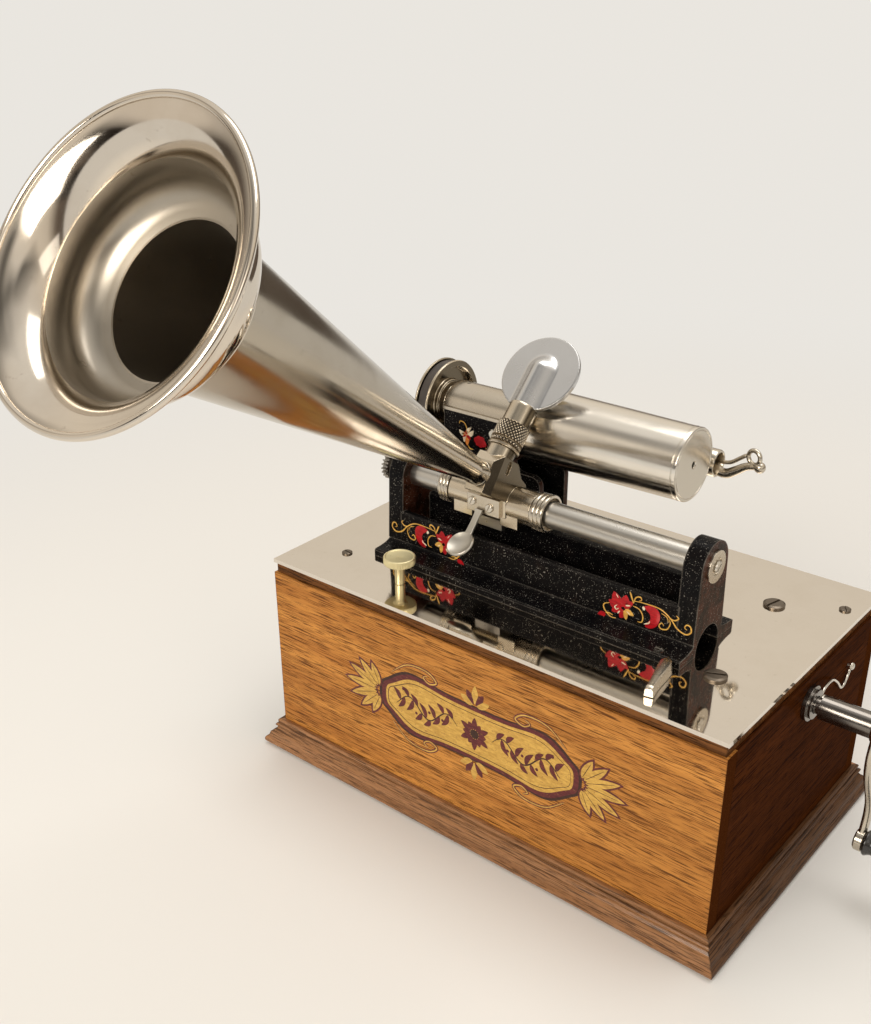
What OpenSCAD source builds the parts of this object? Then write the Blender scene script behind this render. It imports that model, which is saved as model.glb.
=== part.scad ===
// Cylinder phonograph: an oak case with a nickel bedplate, a mandrel driven by a belt from a spring motor,
// and a horn on a carriage that slides and swings on a tube.
// Millimetres, +Z up, origin at the middle of the underside.

/* [Case] */
// Width of the oak body and of the bedplate
case_w = 300; // [280:1:320]
// Depth of the oak body and of the bedplate
case_d = 181; // [170:1:195]
// Height of the body above the base moulding
body_h = 107; // [100:1:120]
// Thickness of the oak panels
panel_t = 10; // [8:0.5:12]
// Height of the base moulding
base_h = 18; // [15:0.5:22]
// How far the base moulding stands out
base_out = 10.2; // [9:0.1:12]
// Thickness of the bottom board
board_t = 6; // [4:0.5:9]
// Height of the rails between body and bedplate
rail_h = 6.6; // [5:0.2:9]
// Width of the rails
rail_w = 12; // [8:0.5:16]
// How far the rails are set back
rail_in = 1.5; // [0.5:0.1:3]
// Thickness of the bedplate
plate_t = 2.4; // [2:0.1:4]

/* [Carriage frame] */
// Length of the frame along the tube
frame_w = 206; // [198:1:212]
// Middle of the frame along the case
frame_mid = -2; // [-4:0.1:0]
// Thickness of the two uprights
end_t = 11; // [9:0.1:12]
// Distance of the tube axis behind the middle of the case
tube_y = -20.5; // [-24:0.1:-18]
// Height of the tube axis above the bedplate
tube_z = 47.5; // [44:0.1:52]
// Half width of the foot
foot_half = 28.5; // [26:0.1:29]
// Height of the lip of the foot
lip_h = 4.4; // [3:0.1:5]
// Height of the cove above the lip
cove_h = 3.2; // [2:0.1:5]
// How far the walls overhang the cove
ledge = 0.8; // [0.4:0.1:1.5]
// Half width over the long walls
wall_half = 15.2; // [14.5:0.1:16]
// Thickness of the long walls
wall_t = 4.6; // [3:0.1:5]
// Height of the front wall
front_wall_h = 27; // [22:0.5:28]
// Height of the back wall
back_wall_h = 31; // [24:0.5:31]
// Radius of the round top of the uprights, about the tube
upright_r = 13.7; // [13:0.1:14.4]
// Radius of the arch through the uprights
arch_r = 12.3; // [9:0.1:12.5]

/* [Tube and feed] */
// Outer radius of the carriage tube
tube_r = 7.5; // [7:0.1:8]
// Wall of the carriage tube
tube_wall = 1.6; // [1.2:0.1:2]
// Width of the slot along the underside of the tube
tube_slot = 9; // [8.6:0.1:10]
// Radius of the feed screw
feed_r = 4.4; // [4:0.1:4.8]
// Radius of the journals of the feed screw
feed_journal_r = 3; // [2.5:0.1:3.4]
// Radius of the washer on the right upright
washer_r = 8.8; // [7:0.1:10]
// Thickness of the washer
washer_t = 1.2; // [1:0.1:2]

/* [Mandrel] */
// Distance of the mandrel axis behind the middle of the case
mandrel_y = 22; // [21:0.1:24]
// Height of the mandrel axis above the bedplate
mandrel_z = 78.8; // [77:0.1:80]
// Free end of the mandrel
mandrel_x1 = 63; // [58:0.5:68]
// Length of the mandrel
mandrel_len = 103.5; // [98:0.5:104]
// Radius at the free end, for a standard cylinder
mandrel_r1 = 20.7; // [20.5:0.05:21]
// Radius at the bearing end
mandrel_r0 = 22; // [21.6:0.05:22.3]
// Wall of the mandrel
mandrel_wall = 2.4; // [1.6:0.1:4]
// Radius of the mandrel shaft
shaft_r = 5; // [4:0.1:6]
// Radius of the bearing housing
bearing_r = 14.4; // [13:0.1:15]
// Gap between the bearing housing and its neighbours
bearing_gap = 0.8; // [0.5:0.1:1.5]
// Radius of the belt pulley over its flanges
pulley_r = 25.4; // [24.5:0.1:26]
// Gap between the feed gears and the belt pulley
pulley_gap = 1; // [0.6:0.1:2]
// Length of the hub of the belt pulley
hub_len = 3; // [2:0.1:4]
// Width of the belt pulley
pulley_w = 10.1; // [9:0.1:11]
// Depth of the belt groove
groove_depth = 3; // [2.6:0.1:4]
// Front face of the mandrel standard
standard_y0 = 7; // [6.8:0.1:8]
// Thickness of the walls of the standard
standard_t = 4; // [3:0.1:5]
// Left end of the bearing housing outside the standard
bearing_out = 0.7; // [0.4:0.1:1.2]
// Right end of the high part of the standard
standard_x1 = -44; // [-48:0.5:-43]
// Right end of the low part of the standard
standard_x2 = -25; // [-30:0.5:-20]
// Height of the low part of the standard
standard_low = 52; // [44:0.5:54]
// Height of the shelf that carries the bearing
standard_top = 80; // [79:0.1:81]
// Thickness of the bearing flange
flange_t = 2; // [1.5:0.1:3]

/* [Feed gears] */
// Module of the feed gears
feed_module = 0.8; // [0.75:0.01:0.82]
// Teeth of the mandrel gear
mandrel_teeth = 40; // [38:1:42]
// Teeth of the idler gear
idler_teeth = 54; // [52:1:56]
// Teeth of the feed gear
feed_teeth = 20; // [19:1:21]
// Gap between the frame and the feed gears
gear_out = 7.3; // [6:0.1:9]
// Face width of the feed gears
gear_w = 3.5; // [3:0.1:4]
// Radius of the idler stud
stud_r = 2.5; // [2:0.1:3]

/* [Belt] */
// Width of the belt
belt_w = 6; // [4:0.1:6]
// Thickness of the belt
belt_t = 1.6; // [1.2:0.1:2]
// Turns of the motor pulley for one turn of the mandrel
belt_ratio = 2; // [1.8:0.1:2.2]
// Gap between the belt and the pulleys
belt_gap = 0.3; // [0.25:0.05:0.5]

/* [Carriage] */
// Middle of the carriage along the tube
carriage_x = -30.7; // [-31:0.1:-20]
// Radius of the sleeve
sleeve_r = 10; // [9.6:0.1:10.4]
// Left end of the left collar
collar_x0 = -70.5; // [-72:0.1:-69]
// Right end of the right collar
collar_x1 = 2; // [1:0.1:4]
// Length of the left collar
collar_left = 7.2; // [5:0.1:8]
// Length of the right collar
collar_right = 8.2; // [6:0.1:9]
// Radius of the collars
collar_r = 10.9; // [10.5:0.1:11.5]
// Width of the elbow block
block_w = 17.4; // [16:0.1:18.4]
// Height of the elbow block over the horn axis
block_top = 13.5; // [13:0.1:14]
// Depth of the elbow block under the horn axis
block_low = 9.7; // [9.4:0.1:10]
// Elbow to the face of the horn socket
socket_s = 10; // [9:0.1:12]
// Width of the face of the horn socket
socket_w = 12; // [11:0.1:14]
// Height of the face of the horn socket over the horn axis
socket_top = 8.3; // [8:0.1:9]
// Elbow to the ridge behind the socket
ridge_s = 4.5; // [3:0.1:6]
// Elbow: distance behind the middle of the case
elbow_y = -35.4; // [-36:0.1:-35]
// Elbow: height above the bedplate
elbow_z = 65.7; // [65:0.1:67]
// Length of the stem boss from the elbow
boss_len = 18.2; // [17:0.1:19]
// Front face of the clamp plate
clamp_y = -32.6; // [-33:0.1:-32.2]
// Thickness of the clamp plate
clamp_t = 2; // [1.5:0.1:2.5]
// Radius of the thumb spoon
spoon_r = 8.3; // [7:0.1:9]

/* [Reproducer] */
// Slope of the stem
stem_tilt = 44.3; // [43:0.1:46]
// Radius of the stem
stem_r = 8.2; // [7:0.1:8.6]
// Radius of the knurled collar
knurl_r = 9.4; // [9:0.1:10.5]
// Length of the knurled collar
knurl_len = 11.5; // [9:0.1:12]
// Elbow to the middle of the disc
disc_s = 67.2; // [66:0.1:69]
// Radius of the reproducer disc
disc_r = 23.5; // [22:0.1:24]
// Thickness of the rim of the disc
disc_t = 3; // [2.4:0.1:4]
// Rise of the disc face above the stem axis
disc_rise = 1.4; // [1:0.1:2]
// Radius of the sound box under the disc
box_r = 13; // [11:0.1:14]
// Depth of the sound box under the disc
box_h = 4; // [3:0.1:4.4]

/* [Horn] */
// Rise of the horn axis
horn_el = 34.8; // [33:0.1:37]
// Turn of the horn axis to the right
horn_az = 2.9; // [0:0.1:5]
// Radius of the horn spigot in the block
spigot_r = 4.8; // [4:0.1:5]
// Length of the spigot
spigot_len = 9.5; // [7:0.1:10]
// Radius of the ferrule of the horn
ferrule_r = 7.3; // [7:0.1:7.8]
// Length of the ferrule of the horn
ferrule_len = 10; // [8:0.5:12]
// Elbow to the end of the cone
cone_s = 257.1; // [245:0.5:265]
// Radius at the end of the cone
cone_r = 33.1; // [31:0.1:35]
// Wall of the horn
horn_wall = 0.9; // [0.7:0.05:1.2]
// Radius over the rim of the bell
rim_r = 65.3; // [62:0.1:68]
// Radius of the rolled rim
bead_r = 1.7; // [1.2:0.1:2.2]
// Radius of the round throat of the bell
throat_r = 12; // [10:0.1:14]
// Radius of the joint ring over the cone
ring_h = 1.8; // [1.2:0.1:3]

/* [Crank] */
// Crank axis: distance behind the middle of the case
crank_y = 2; // [0:0.1:4]
// Crank axis: depth below the bedplate
crank_z = -25; // [-27:0.1:-24]
// Radius of the crank shaft
crank_r = 6.7; // [6:0.1:7]
// Radius of the neck of the crank shaft
crank_neck_r = 4.5; // [4:0.1:5]
// Length of the neck outside the case
crank_neck = 7.5; // [6.5:0.1:9]
// Crank shaft outside the case
crank_out = 35; // [30:0.5:40]
// Drop from the crank axis to the knob
crank_drop = 73.6; // [65:0.1:80]
// Shift of the knob behind the crank axis
crank_shift = 4; // [0:0.1:8]
// Thickness of the crank arm
arm_t = 4; // [3:0.1:5]
// Width of the crank arm
arm_w = 8; // [6:0.1:10]
// Length of the knob
knob_len = 40; // [34:0.5:46]
// Largest radius of the knob
knob_r = 9; // [8:0.1:11]

/* [Controls] */
// Speed screw: place along the case
speed_x = -69.8; // [-75:0.1:-65]
// Speed screw: place across the case
speed_y = -66.5; // [-70:0.1:-64]
// Radius of the head of the speed screw
speed_r = 9.4; // [8.5:0.1:10.5]
// Height of the head of the speed screw
speed_h = 13; // [11:0.1:15]
// Radius of the stem of the speed screw
speed_stem_r = 2.9; // [2.4:0.05:3.2]
// Start lever: distance of its stud from the end of the case
start_in = 54; // [53:0.1:60]
// Start lever: gap between its root and the foot of the frame
start_gap = 1.4; // [1:0.1:3]
// Length of the start lever from its stud
start_len = 27; // [22:0.5:30]
// Height of the start lever at its root
start_h = 6; // [5:0.1:7]
// Width of the start lever at its root
start_w = 7.6; // [6:0.1:9]
// Width of the start lever at its tip
start_tip = 3.6; // [3:0.1:5]
// Turn of the start lever to the right
start_turn = 12; // [0:0.5:20]

/* [Motor] */
// Module of the winding and great gears
great_module = 1; // [0.96:0.01:1.04]
// Teeth of the winding pinion
pinion_teeth = 22; // [20:1:23]
// Teeth of the winding wheel
winding_teeth = 72; // [70:1:74]
// Teeth of the great gear
great_teeth = 80; // [78:1:82]
// Teeth of the train pinions
train_teeth = 10; // [10:1:11]
// Teeth of the second gear
second_teeth = 50; // [48:1:52]
// Module of the second gear
second_module = 0.8; // [0.78:0.01:0.82]
// Direction from the barrel to the second shaft
second_angle = 30; // [28:0.5:32]
// Direction from the second shaft to the governor shaft
governor_angle = 217.7; // [216:0.1:219]
// Depth of the motor below the bedplate
motor_h = 110; // [104:0.5:112]
// Left face of the great gear
barrel_x0 = 22; // [20:0.5:24]
// Right end of the spring barrel
barrel_x1 = 90; // [80:0.5:92]
// Radius of the spring barrel
barrel_r = 33; // [31:0.5:34]
// Thickness of the motor plates
motor_t = 3; // [2.5:0.1:3.5]
// Radius of the motor arbors
arbor_r = 2.5; // [2:0.1:3]
// Radius of the barrel arbor
barrel_arbor_r = 4; // [3.5:0.1:4.5]
// Radius of the motor pillars
pillar_r = 4; // [3:0.1:5]

/* [Fits] */
// Radial gap of a shaft that turns in its bore
run_gap = 0.05; // [0.03:0.01:0.1]
// Gap of pieces that are fixed together
seat_gap = 0.02; // [0.01:0.01:0.05]
// Gap between moving pieces that pass each other
pass_gap = 0.4; // [0.3:0.05:0.6]
// Flank of a gear tooth set in for backlash
gear_play = 0.12; // [0.1:0.01:0.18]

/* [Hidden] */
$fn = 48;
body_top = base_h + body_h;
plate_z = body_top + rail_h + plate_t;
frame_x0 = frame_mid - frame_w / 2;
frame_x1 = frame_mid + frame_w / 2;
inner_x0 = frame_x0 + end_t;
inner_x1 = frame_x1 - end_t;
gear_x0 = frame_x0 - gear_out - gear_w;
pulley_x0 = gear_x0 + gear_w + pulley_gap;
pulley_x1 = pulley_x0 + pulley_w;
groove_r = pulley_r - groove_depth;
belt_mid = groove_r + belt_gap + belt_t / 2;
drive_groove = belt_mid / belt_ratio - belt_gap - belt_t / 2;
flange_w = (pulley_w - belt_w - 2 * belt_gap) / 2;
belt_x0 = pulley_x0 + flange_w + belt_gap;
mandrel_x0 = mandrel_x1 - mandrel_len;
bearing_x0 = pulley_x1 + hub_len + 2 * bearing_gap;
bearing_x1 = mandrel_x0 - bearing_gap;
standard_x0 = bearing_x0 + bearing_out;
standard_y1 = 2 * mandrel_y - standard_y0;
mandrel_p = feed_module * mandrel_teeth / 2;
idler_p = feed_module * idler_teeth / 2;
feed_p = feed_module * feed_teeth / 2;
tube_at = [tube_y, tube_z];
mandrel_at = [mandrel_y, mandrel_z];
axis_gap = norm(mandrel_at - tube_at);
idler_a = mandrel_p + idler_p;
idler_b = idler_p + feed_p;
idler_along = (idler_a * idler_a - idler_b * idler_b + axis_gap * axis_gap) / (2 * axis_gap);
idler_off = sqrt(idler_a * idler_a - idler_along * idler_along);
to_tube = (tube_at - mandrel_at) / axis_gap;
idler_at = mandrel_at + idler_along * to_tube + idler_off * [-to_tube[1], to_tube[0]];
crank_at = [crank_y, crank_z];
winding_gap = great_module * (pinion_teeth + winding_teeth) / 2;
barrel_at = crank_at - [0, winding_gap];
second_gap = great_module * (great_teeth + train_teeth) / 2;
second_at = barrel_at + second_gap * [cos(second_angle), sin(second_angle)];
governor_gap = second_module * (second_teeth + train_teeth) / 2;
governor_at = second_at + governor_gap * [cos(governor_angle), sin(governor_angle)];
stem_dir = [cos(stem_tilt), sin(stem_tilt)];
stem_up = [-sin(stem_tilt), cos(stem_tilt)];
horn_dir = [-cos(horn_el), sin(horn_el)];
horn_up = [sin(horn_el), cos(horn_el)];
elbow_at = [elbow_y, elbow_z];
sleeve_x0 = collar_x0 + collar_left + pass_gap;
sleeve_x1 = collar_x1 - collar_right - pass_gap;
start_x = case_w / 2 - start_in;
start_y = tube_y - foot_half - start_gap - start_w / 2;
knob_at = [crank_y + crank_shift, crank_z - crank_drop];
crank_x1 = case_w / 2 + crank_out;
motor_x = [case_w / 2 - 40, 14, -62];
arbor_x0 = motor_x[2];
winding_x = motor_x[0] - 10;
plate_screw_at = [[118, -43], [108.5, 43], [140.8, 61.8], [-120, -57.4], [-140.8, 61.8], [-66, 52], [-56, tube_y]];
bolt_head_r = 2.6;
frame_bolt_at = [for (x = [-1, 1], y = [-1, 1]) [frame_mid + x * (frame_w / 2 - 14), tube_y + y * (foot_half - 3.2)]];
standard_bolt_at = [[-88, standard_y1 + 5], [-34, standard_y1 + 5]];
pillar_at = [[-52, -104], [58, -104], [-52, -16], [58, -16]];

// Points of an arc about c
function arc(c, r, a0, a1, n) = [for (i = [0:n]) c + r * [cos(a0 + (a1 - a0) * i / n), sin(a0 + (a1 - a0) * i / n)]];
function flip(p) = [for (i = [len(p) - 1:-1:0]) p[i]];
function mirror_y(p) = [for (i = [len(p) - 1:-1:0]) [-p[i][0], p[i][1]]];
function deg(a) = a * 180 / PI;
function involute(a) = deg(tan(a)) - a;
// Half angle of a gear tooth at radius r
function tooth_half(n, m, r) =
  90 / n - deg(gear_play / (n * m / 2)) + involute(20)
  - involute(acos(min(1, n * m / 2 * cos(20) / r)));
// Outline of a gear of n teeth with a tooth at angle a
function gear_points(n, m, a) =
  let (p = n * m / 2, tip = p + 0.92 * m, low = p - 1.25 * m, base = max(low, p * cos(20)))
  [for (i = [0:n - 1], q = [[low, -1, base], [p, -1, p], [tip, -1, tip], [tip, 1, tip], [p, 1, p], [low, 1, base]])
    let (t = a + 360 * i / n + q[1] * tooth_half(n, m, q[2])) q[0] * [cos(t), sin(t)]];
// Angle of the second gear of a pair that lies in direction d from the first
function mesh_angle(a, n1, n2, d) = d + 180 - n1 / n2 * (a - d) - 180 / n2;
function direction(a, b) = atan2(b[1] - a[1], b[0] - a[0]);

// Shapes drawn in Y and Z and raised along X
module along_x(x, at = [0, 0]) {
  translate([x, at[0], at[1]])
    rotate([90, 0, 90])
      children();
}

// Rod along X
module rod_x(x0, x1, at, r) {
  along_x(x0, at)
    cylinder(h = x1 - x0, r = r);
}

// Block between two corners
module block(a, b) {
  translate(a)
    cube(b - a);
}

// Rod with rounded joints through a list of points
module bent_rod(points, r) {
  for (i = [0:len(points) - 2]) {
    d = points[i + 1] - points[i];
    translate(points[i])
      rotate([0, acos(d[2] / norm(d)), atan2(d[1], d[0])])
        cylinder(h = norm(d), r = r, $fn = 12);
  }
  for (p = points)
    translate(p)
      sphere(r = r * 1.06, $fn = 12);
}

// Slotted screw with its head above the origin
module slotted_screw(head_r, head_h, shank_r, shank_len) {
  difference() {
    union() {
      cylinder(h = head_h * 0.6, r = head_r);
      translate([0, 0, head_h * 0.6])
        cylinder(h = head_h * 0.4, r1 = head_r, r2 = head_r * 0.8);
      translate([0, 0, -shank_len])
        cylinder(h = shank_len + 0.1, r = shank_r);
    }
    translate([-head_r - 1, -head_r * 0.12, head_h * 0.5])
      cube([2 * head_r + 2, head_r * 0.24, head_h]);
  }
}

// Gear along X
module gear_x(x0, w, at, n, m, a) {
  along_x(x0, at)
    linear_extrude(height = w)
      polygon(gear_points(n, m, a));
}

// Frame of the top works, at the top of the bedplate
module top() {
  translate([0, 0, plate_z])
    children();
}

// Frame of the stem: Y along the stem, Z out of the disc
module stem_frame() {
  translate([carriage_x, elbow_y, plate_z + elbow_z])
    rotate([stem_tilt, 0, 0])
      children();
}

// Rod along the stem
module stem_rod(s0, s1, r) {
  stem_frame()
    translate([0, s0, 0])
      rotate([-90, 0, 0])
        cylinder(h = s1 - s0, r = r);
}

// Frame of the horn: Z along the horn
module horn_frame() {
  translate([carriage_x, elbow_y, plate_z + elbow_z])
    rotate([90 - horn_el, 0, horn_az])
      children();
}

// Case
module front_panel() {
  color("Peru")
    block([-case_w / 2, -case_d / 2, board_t], [case_w / 2, -case_d / 2 + panel_t, body_top]);
}

module rear_panel() {
  color("Peru")
    block([-case_w / 2, case_d / 2 - panel_t, board_t], [case_w / 2, case_d / 2, body_top]);
}

module side_blank(x0) {
  block([x0, -case_d / 2 + panel_t, board_t], [x0 + panel_t, case_d / 2 - panel_t, body_top]);
}

module left_panel() {
  color("Peru")
    side_blank(-case_w / 2);
}

module right_panel() {
  color("Peru")
    difference() {
      side_blank(case_w / 2 - panel_t);
      top()
        rod_x(case_w / 2 - panel_t - 1, case_w / 2 + 1, crank_at, crank_neck_r + 2 * pass_gap);
      top()
        block([case_w / 2 - panel_t - 1, crank_y + 4.4, crank_z - 14.5], [case_w / 2 + 1, crank_y + 9.4, crank_z - 9.5]);
      clip_nail(seat_gap);
    }
}

module bottom_board() {
  color("SaddleBrown")
    block([-case_w / 2, -case_d / 2, 0], [case_w / 2, case_d / 2, board_t]);
}

// Section of the base moulding, outwards and up
moulding_points = concat(
  [[0, 0], [0, base_h], [base_out * 0.2, base_h]],
  arc([base_out * 0.2, base_h * 0.92], base_h * 0.08, 80, -60, 6),
  arc([base_out * 0.34, base_h * 0.755], base_h * 0.07, 110, -50, 6),
  arc([base_out * 1.02, base_h * 0.86], base_h * 0.42, 205, 245, 6),
  arc([base_out - base_h * 0.16, base_h * 0.17], base_h * 0.16, 75, -70, 8),
  [[base_out - base_h * 0.13, 0]]
);

module moulding(len) {
  intersection() {
    translate([-len / 2 - base_out, 0, 0])
      rotate([90, 0, 90])
        linear_extrude(height = len + 2 * base_out)
          polygon([for (p = moulding_points) [-p[0], p[1]]]);
    linear_extrude(height = base_h)
      polygon([
        [-len / 2, 0], [len / 2, 0], [len / 2 + base_out, -base_out], [-len / 2 - base_out, -base_out]
      ]);
  }
}

module front_moulding() {
  color("Peru")
    translate([0, -case_d / 2, 0])
      moulding(case_w);
}

module rear_moulding() {
  color("Peru")
    translate([0, case_d / 2, 0])
      rotate(180)
        moulding(case_w);
}

module left_moulding() {
  color("Peru")
    translate([-case_w / 2, 0, 0])
      rotate(-90)
        moulding(case_d);
}

module right_moulding() {
  color("Peru")
    translate([case_w / 2, 0, 0])
      rotate(90)
        moulding(case_d);
}

module top_rails() {
  x = case_w / 2 - rail_in;
  y = case_d / 2 - rail_in;
  z1 = body_top + rail_h;
  color("SaddleBrown")
    difference() {
      union() {
        block([-x, -y, body_top], [x, -y + rail_w, z1]);
        block([-x, y - rail_w, body_top], [x, y, z1]);
        block([-x, -y + rail_w + seat_gap, body_top], [-x + rail_w, y - rail_w - seat_gap, z1]);
        block([x - rail_w, -y + rail_w + seat_gap, body_top], [x, y - rail_w - seat_gap, z1]);
      }
      for (p = plate_screw_at)
        translate([p[0], p[1], z1 - 6])
          cylinder(h = 7, r = 2 + seat_gap);
    }
}

// Places of the belt where it passes the bedplate, front and rear
belt_drop = (mandrel_z + plate_t / 2) / (mandrel_z - governor_at[1]);
belt_shift = governor_at[0] - mandrel_y;
belt_half = belt_mid + (belt_mid / belt_ratio - belt_mid) * belt_drop;

module bedplate() {
  color("Silver")
    difference() {
      block([-case_w / 2, -case_d / 2, plate_z - plate_t], [case_w / 2, case_d / 2, plate_z]);
      for (s = [-1, 1])
        translate([belt_x0 - 1.2, mandrel_y + belt_shift * belt_drop + s * belt_half - 3.6, plate_z - plate_t - 1])
          cube([belt_w + 2.4, 7.2, plate_t + 2]);
      top() {
        for (p = plate_screw_at)
          translate([p[0], p[1], -plate_t - 1])
            cylinder(h = plate_t + 2, r = 2 + seat_gap);
        for (p = concat(frame_bolt_at, standard_bolt_at))
          translate([p[0], p[1], -plate_t - 1])
            cylinder(h = plate_t + 2, r = 1.5 + seat_gap);
        translate([start_x, start_y, -plate_t - 1])
          cylinder(h = plate_t + 2, r = 3 + run_gap);
        translate([speed_x, speed_y, -plate_t - 1])
          cylinder(h = plate_t + 2, r = speed_stem_r + run_gap);
      }
    }
}

module plate_screws() {
  color("Gainsboro")
    top()
      for (i = [0:len(plate_screw_at) - 1])
        translate([plate_screw_at[i][0], plate_screw_at[i][1], 0])
          rotate(25 + 50 * i)
            slotted_screw(i < 2 ? 6 : 3.2, i < 2 ? 1.8 : 1.2, 2, plate_t + 5);
}

// Half of the foot of the frame, from the lip up to the wall
function foot_edge(half) =
  let (x = foot_half - ledge, w = x - half + ledge, z = lip_h + cove_h)
  concat(
    [[foot_half, 0], [foot_half, lip_h - ledge]],
    [for (i = [0:8]) [x - w * sin(90 * i / 8), z - cove_h * cos(90 * i / 8)]],
    [[half, z]]
  );

upright_points = concat(
  foot_edge(wall_half),
  arc([0, tube_z], upright_r, 0, 180, 24),
  mirror_y(foot_edge(wall_half))
);

module frame_wall(h) {
  along_x(inner_x0 - 1, [tube_y, 0])
    linear_extrude(height = inner_x1 - inner_x0 + 2)
      polygon(concat(
        foot_edge(wall_half),
        arc([wall_half - 1.2, h - 1.2], 1.2, 0, 90, 3),
        arc([wall_half - wall_t + 1.2, h - 1.2], 1.2, 90, 180, 3),
        [[wall_half - wall_t, 0]]
      ));
}

module carriage_frame() {
  color("Black")
    top()
      difference() {
        union() {
          for (x = [frame_x0, inner_x1])
            along_x(x, [tube_y, 0])
              linear_extrude(height = end_t)
                polygon(upright_points);
          frame_wall(back_wall_h);
          translate([0, 2 * tube_y, 0])
            mirror([0, 1, 0])
              frame_wall(front_wall_h);
        }
        for (x = [frame_x0 - 1, inner_x1 - 2])
          rod_x(x, x + end_t + 3, [tube_y, 0.8], arch_r);
        rod_x(frame_x0 - 1, inner_x0 + 1, tube_at, feed_journal_r + run_gap);
        rod_x(inner_x1 - 1, inner_x1 + 7, tube_at, feed_journal_r + run_gap);
        rod_x(frame_x1 - 2.5, frame_x1 + 1, tube_at, 1.5 + seat_gap);
        for (p = frame_bolt_at)
          translate([p[0], p[1], -1]) {
            cylinder(h = lip_h + 2, r = 1.5 + seat_gap);
            translate([0, 0, lip_h + 1])
              cylinder(h = 3, r = bolt_head_r + seat_gap);
          }
        // Notch in the rear foot, past which the belt runs
        block(
          [frame_x0 - 1, mandrel_y - belt_half - 3, -1],
          [belt_x0 + belt_w + 1, tube_y + foot_half + 1, lip_h + cove_h + 1]
        );
      }
}

module frame_bolts() {
  color("DimGray")
    top()
      for (p = frame_bolt_at)
        translate([p[0], p[1], lip_h])
          slotted_screw(bolt_head_r, 1.6, 1.5, lip_h + plate_t + 3);
}

// Tube and feed
module carriage_tube() {
  color("Silver")
    top()
      difference() {
        rod_x(inner_x0, inner_x1, tube_at, tube_r);
        rod_x(inner_x0 - 1, inner_x1 + 1, tube_at, tube_r - tube_wall);
        block([inner_x0 + 6, tube_y - tube_slot / 2, tube_z - tube_r - 1], [inner_x1 - 6, tube_y + tube_slot / 2, tube_z]);
      }
}

module tube_washer() {
  color("Silver")
    top()
      difference() {
        rod_x(frame_x1, frame_x1 + washer_t, tube_at, washer_r);
        rod_x(frame_x1 + washer_t / 2, frame_x1 + washer_t + 1, tube_at, washer_r * 0.55);
        rod_x(frame_x1 - 1, frame_x1 + washer_t + 1, tube_at, 1.5 + seat_gap);
      }
}

module tube_screw() {
  color("Gainsboro")
    top()
      along_x(frame_x1 + washer_t / 2, tube_at)
        rotate(35)
          slotted_screw(3.4, 1.8, 1.5, 2.6);
}

module feed_screw() {
  color("Silver")
    top() {
      rod_x(inner_x0 + 0.5, inner_x1 - 0.5, tube_at, feed_r);
      rod_x(gear_x0 - 1.5, inner_x1 + 6.5, tube_at, feed_journal_r);
    }
}

mandrel_phase = direction(mandrel_at, idler_at);
idler_phase = mesh_angle(mandrel_phase, mandrel_teeth, idler_teeth, mandrel_phase);
feed_phase = mesh_angle(idler_phase, idler_teeth, feed_teeth, direction(idler_at, tube_at));

module bored_gear(x0, w, at, n, m, a, bore) {
  difference() {
    gear_x(x0, w, at, n, m, a);
    rod_x(x0 - 1, x0 + w + 1, at, bore);
  }
}

module feed_gear() {
  color("Silver")
    top()
      bored_gear(gear_x0, gear_w, tube_at, feed_teeth, feed_module, feed_phase, feed_journal_r + seat_gap);
}

module idler_gear() {
  color("Silver")
    top()
      bored_gear(gear_x0, gear_w, idler_at, idler_teeth, feed_module, idler_phase, stud_r + run_gap);
}

module mandrel_gear() {
  color("Silver")
    top()
      bored_gear(gear_x0, gear_w, mandrel_at, mandrel_teeth, feed_module, mandrel_phase, shaft_r + seat_gap);
}

module idler_stud() {
  color("Gainsboro")
    top() {
      rod_x(gear_x0 - 1, standard_x0 + 9, idler_at, stud_r);
      rod_x(gear_x0 - 2.4, gear_x0 - 0.4, idler_at, stud_r + 1.8);
    }
}

// Mandrel and its standard
rod_at = [58, 66.9];

module standard_wall(y1, low_x) {
  translate([0, y1, 0])
    rotate([90, 0, 0])
      linear_extrude(height = standard_t)
        polygon(concat(
          [[standard_x0, 0], [low_x, 0]],
          arc([low_x - 6, standard_low - 6], 6, 0, 90, 5),
          arc([standard_x1 + 6, standard_low + 6], 6, 270, 180, 5),
          [[standard_x1, standard_top], [standard_x0, standard_top]]
        ));
}

module mandrel_standard() {
  color("Black")
    top()
      difference() {
        union() {
          standard_wall(standard_y0 + standard_t, standard_x2);
          standard_wall(standard_y1, standard_x2);
          block([standard_x0, standard_y0 + 1, standard_top - 22], [standard_x1, standard_y1 - 1, standard_top]);
          block([standard_x0, standard_y1 - 1, 0], [standard_x2, standard_y1 + 9, 4]);
          rod_x(standard_x0, standard_x0 + 10, idler_at, stud_r + 3);
          block([-60, standard_y1 - 1, rod_at[1] - 6], [-46, rod_at[0], rod_at[1] + 6]);
          rod_x(-60, -46, rod_at, 6);
        }
        rod_x(standard_x0 - 1, standard_x1 + 1, mandrel_at, bearing_r + seat_gap);
        block(
          [standard_x0 - 1, standard_y0 - 1, -1],
          [standard_x2 + 1, tube_y + foot_half + pass_gap, lip_h + cove_h + pass_gap]
        );
        rod_x(standard_x0 - 1, standard_x0 + 9.5, idler_at, stud_r + seat_gap);
        rod_x(-58, -45, rod_at, 3 + seat_gap);
        for (p = standard_bolt_at)
          translate([p[0], p[1], -1])
            cylinder(h = 6, r = 1.5 + seat_gap);
        translate([-58.5, standard_y0 - 1, standard_top - 8])
          rotate([-90, 0, 0])
            cylinder(h = 2.7, r = 1.5 + seat_gap);
      }
}

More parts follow.
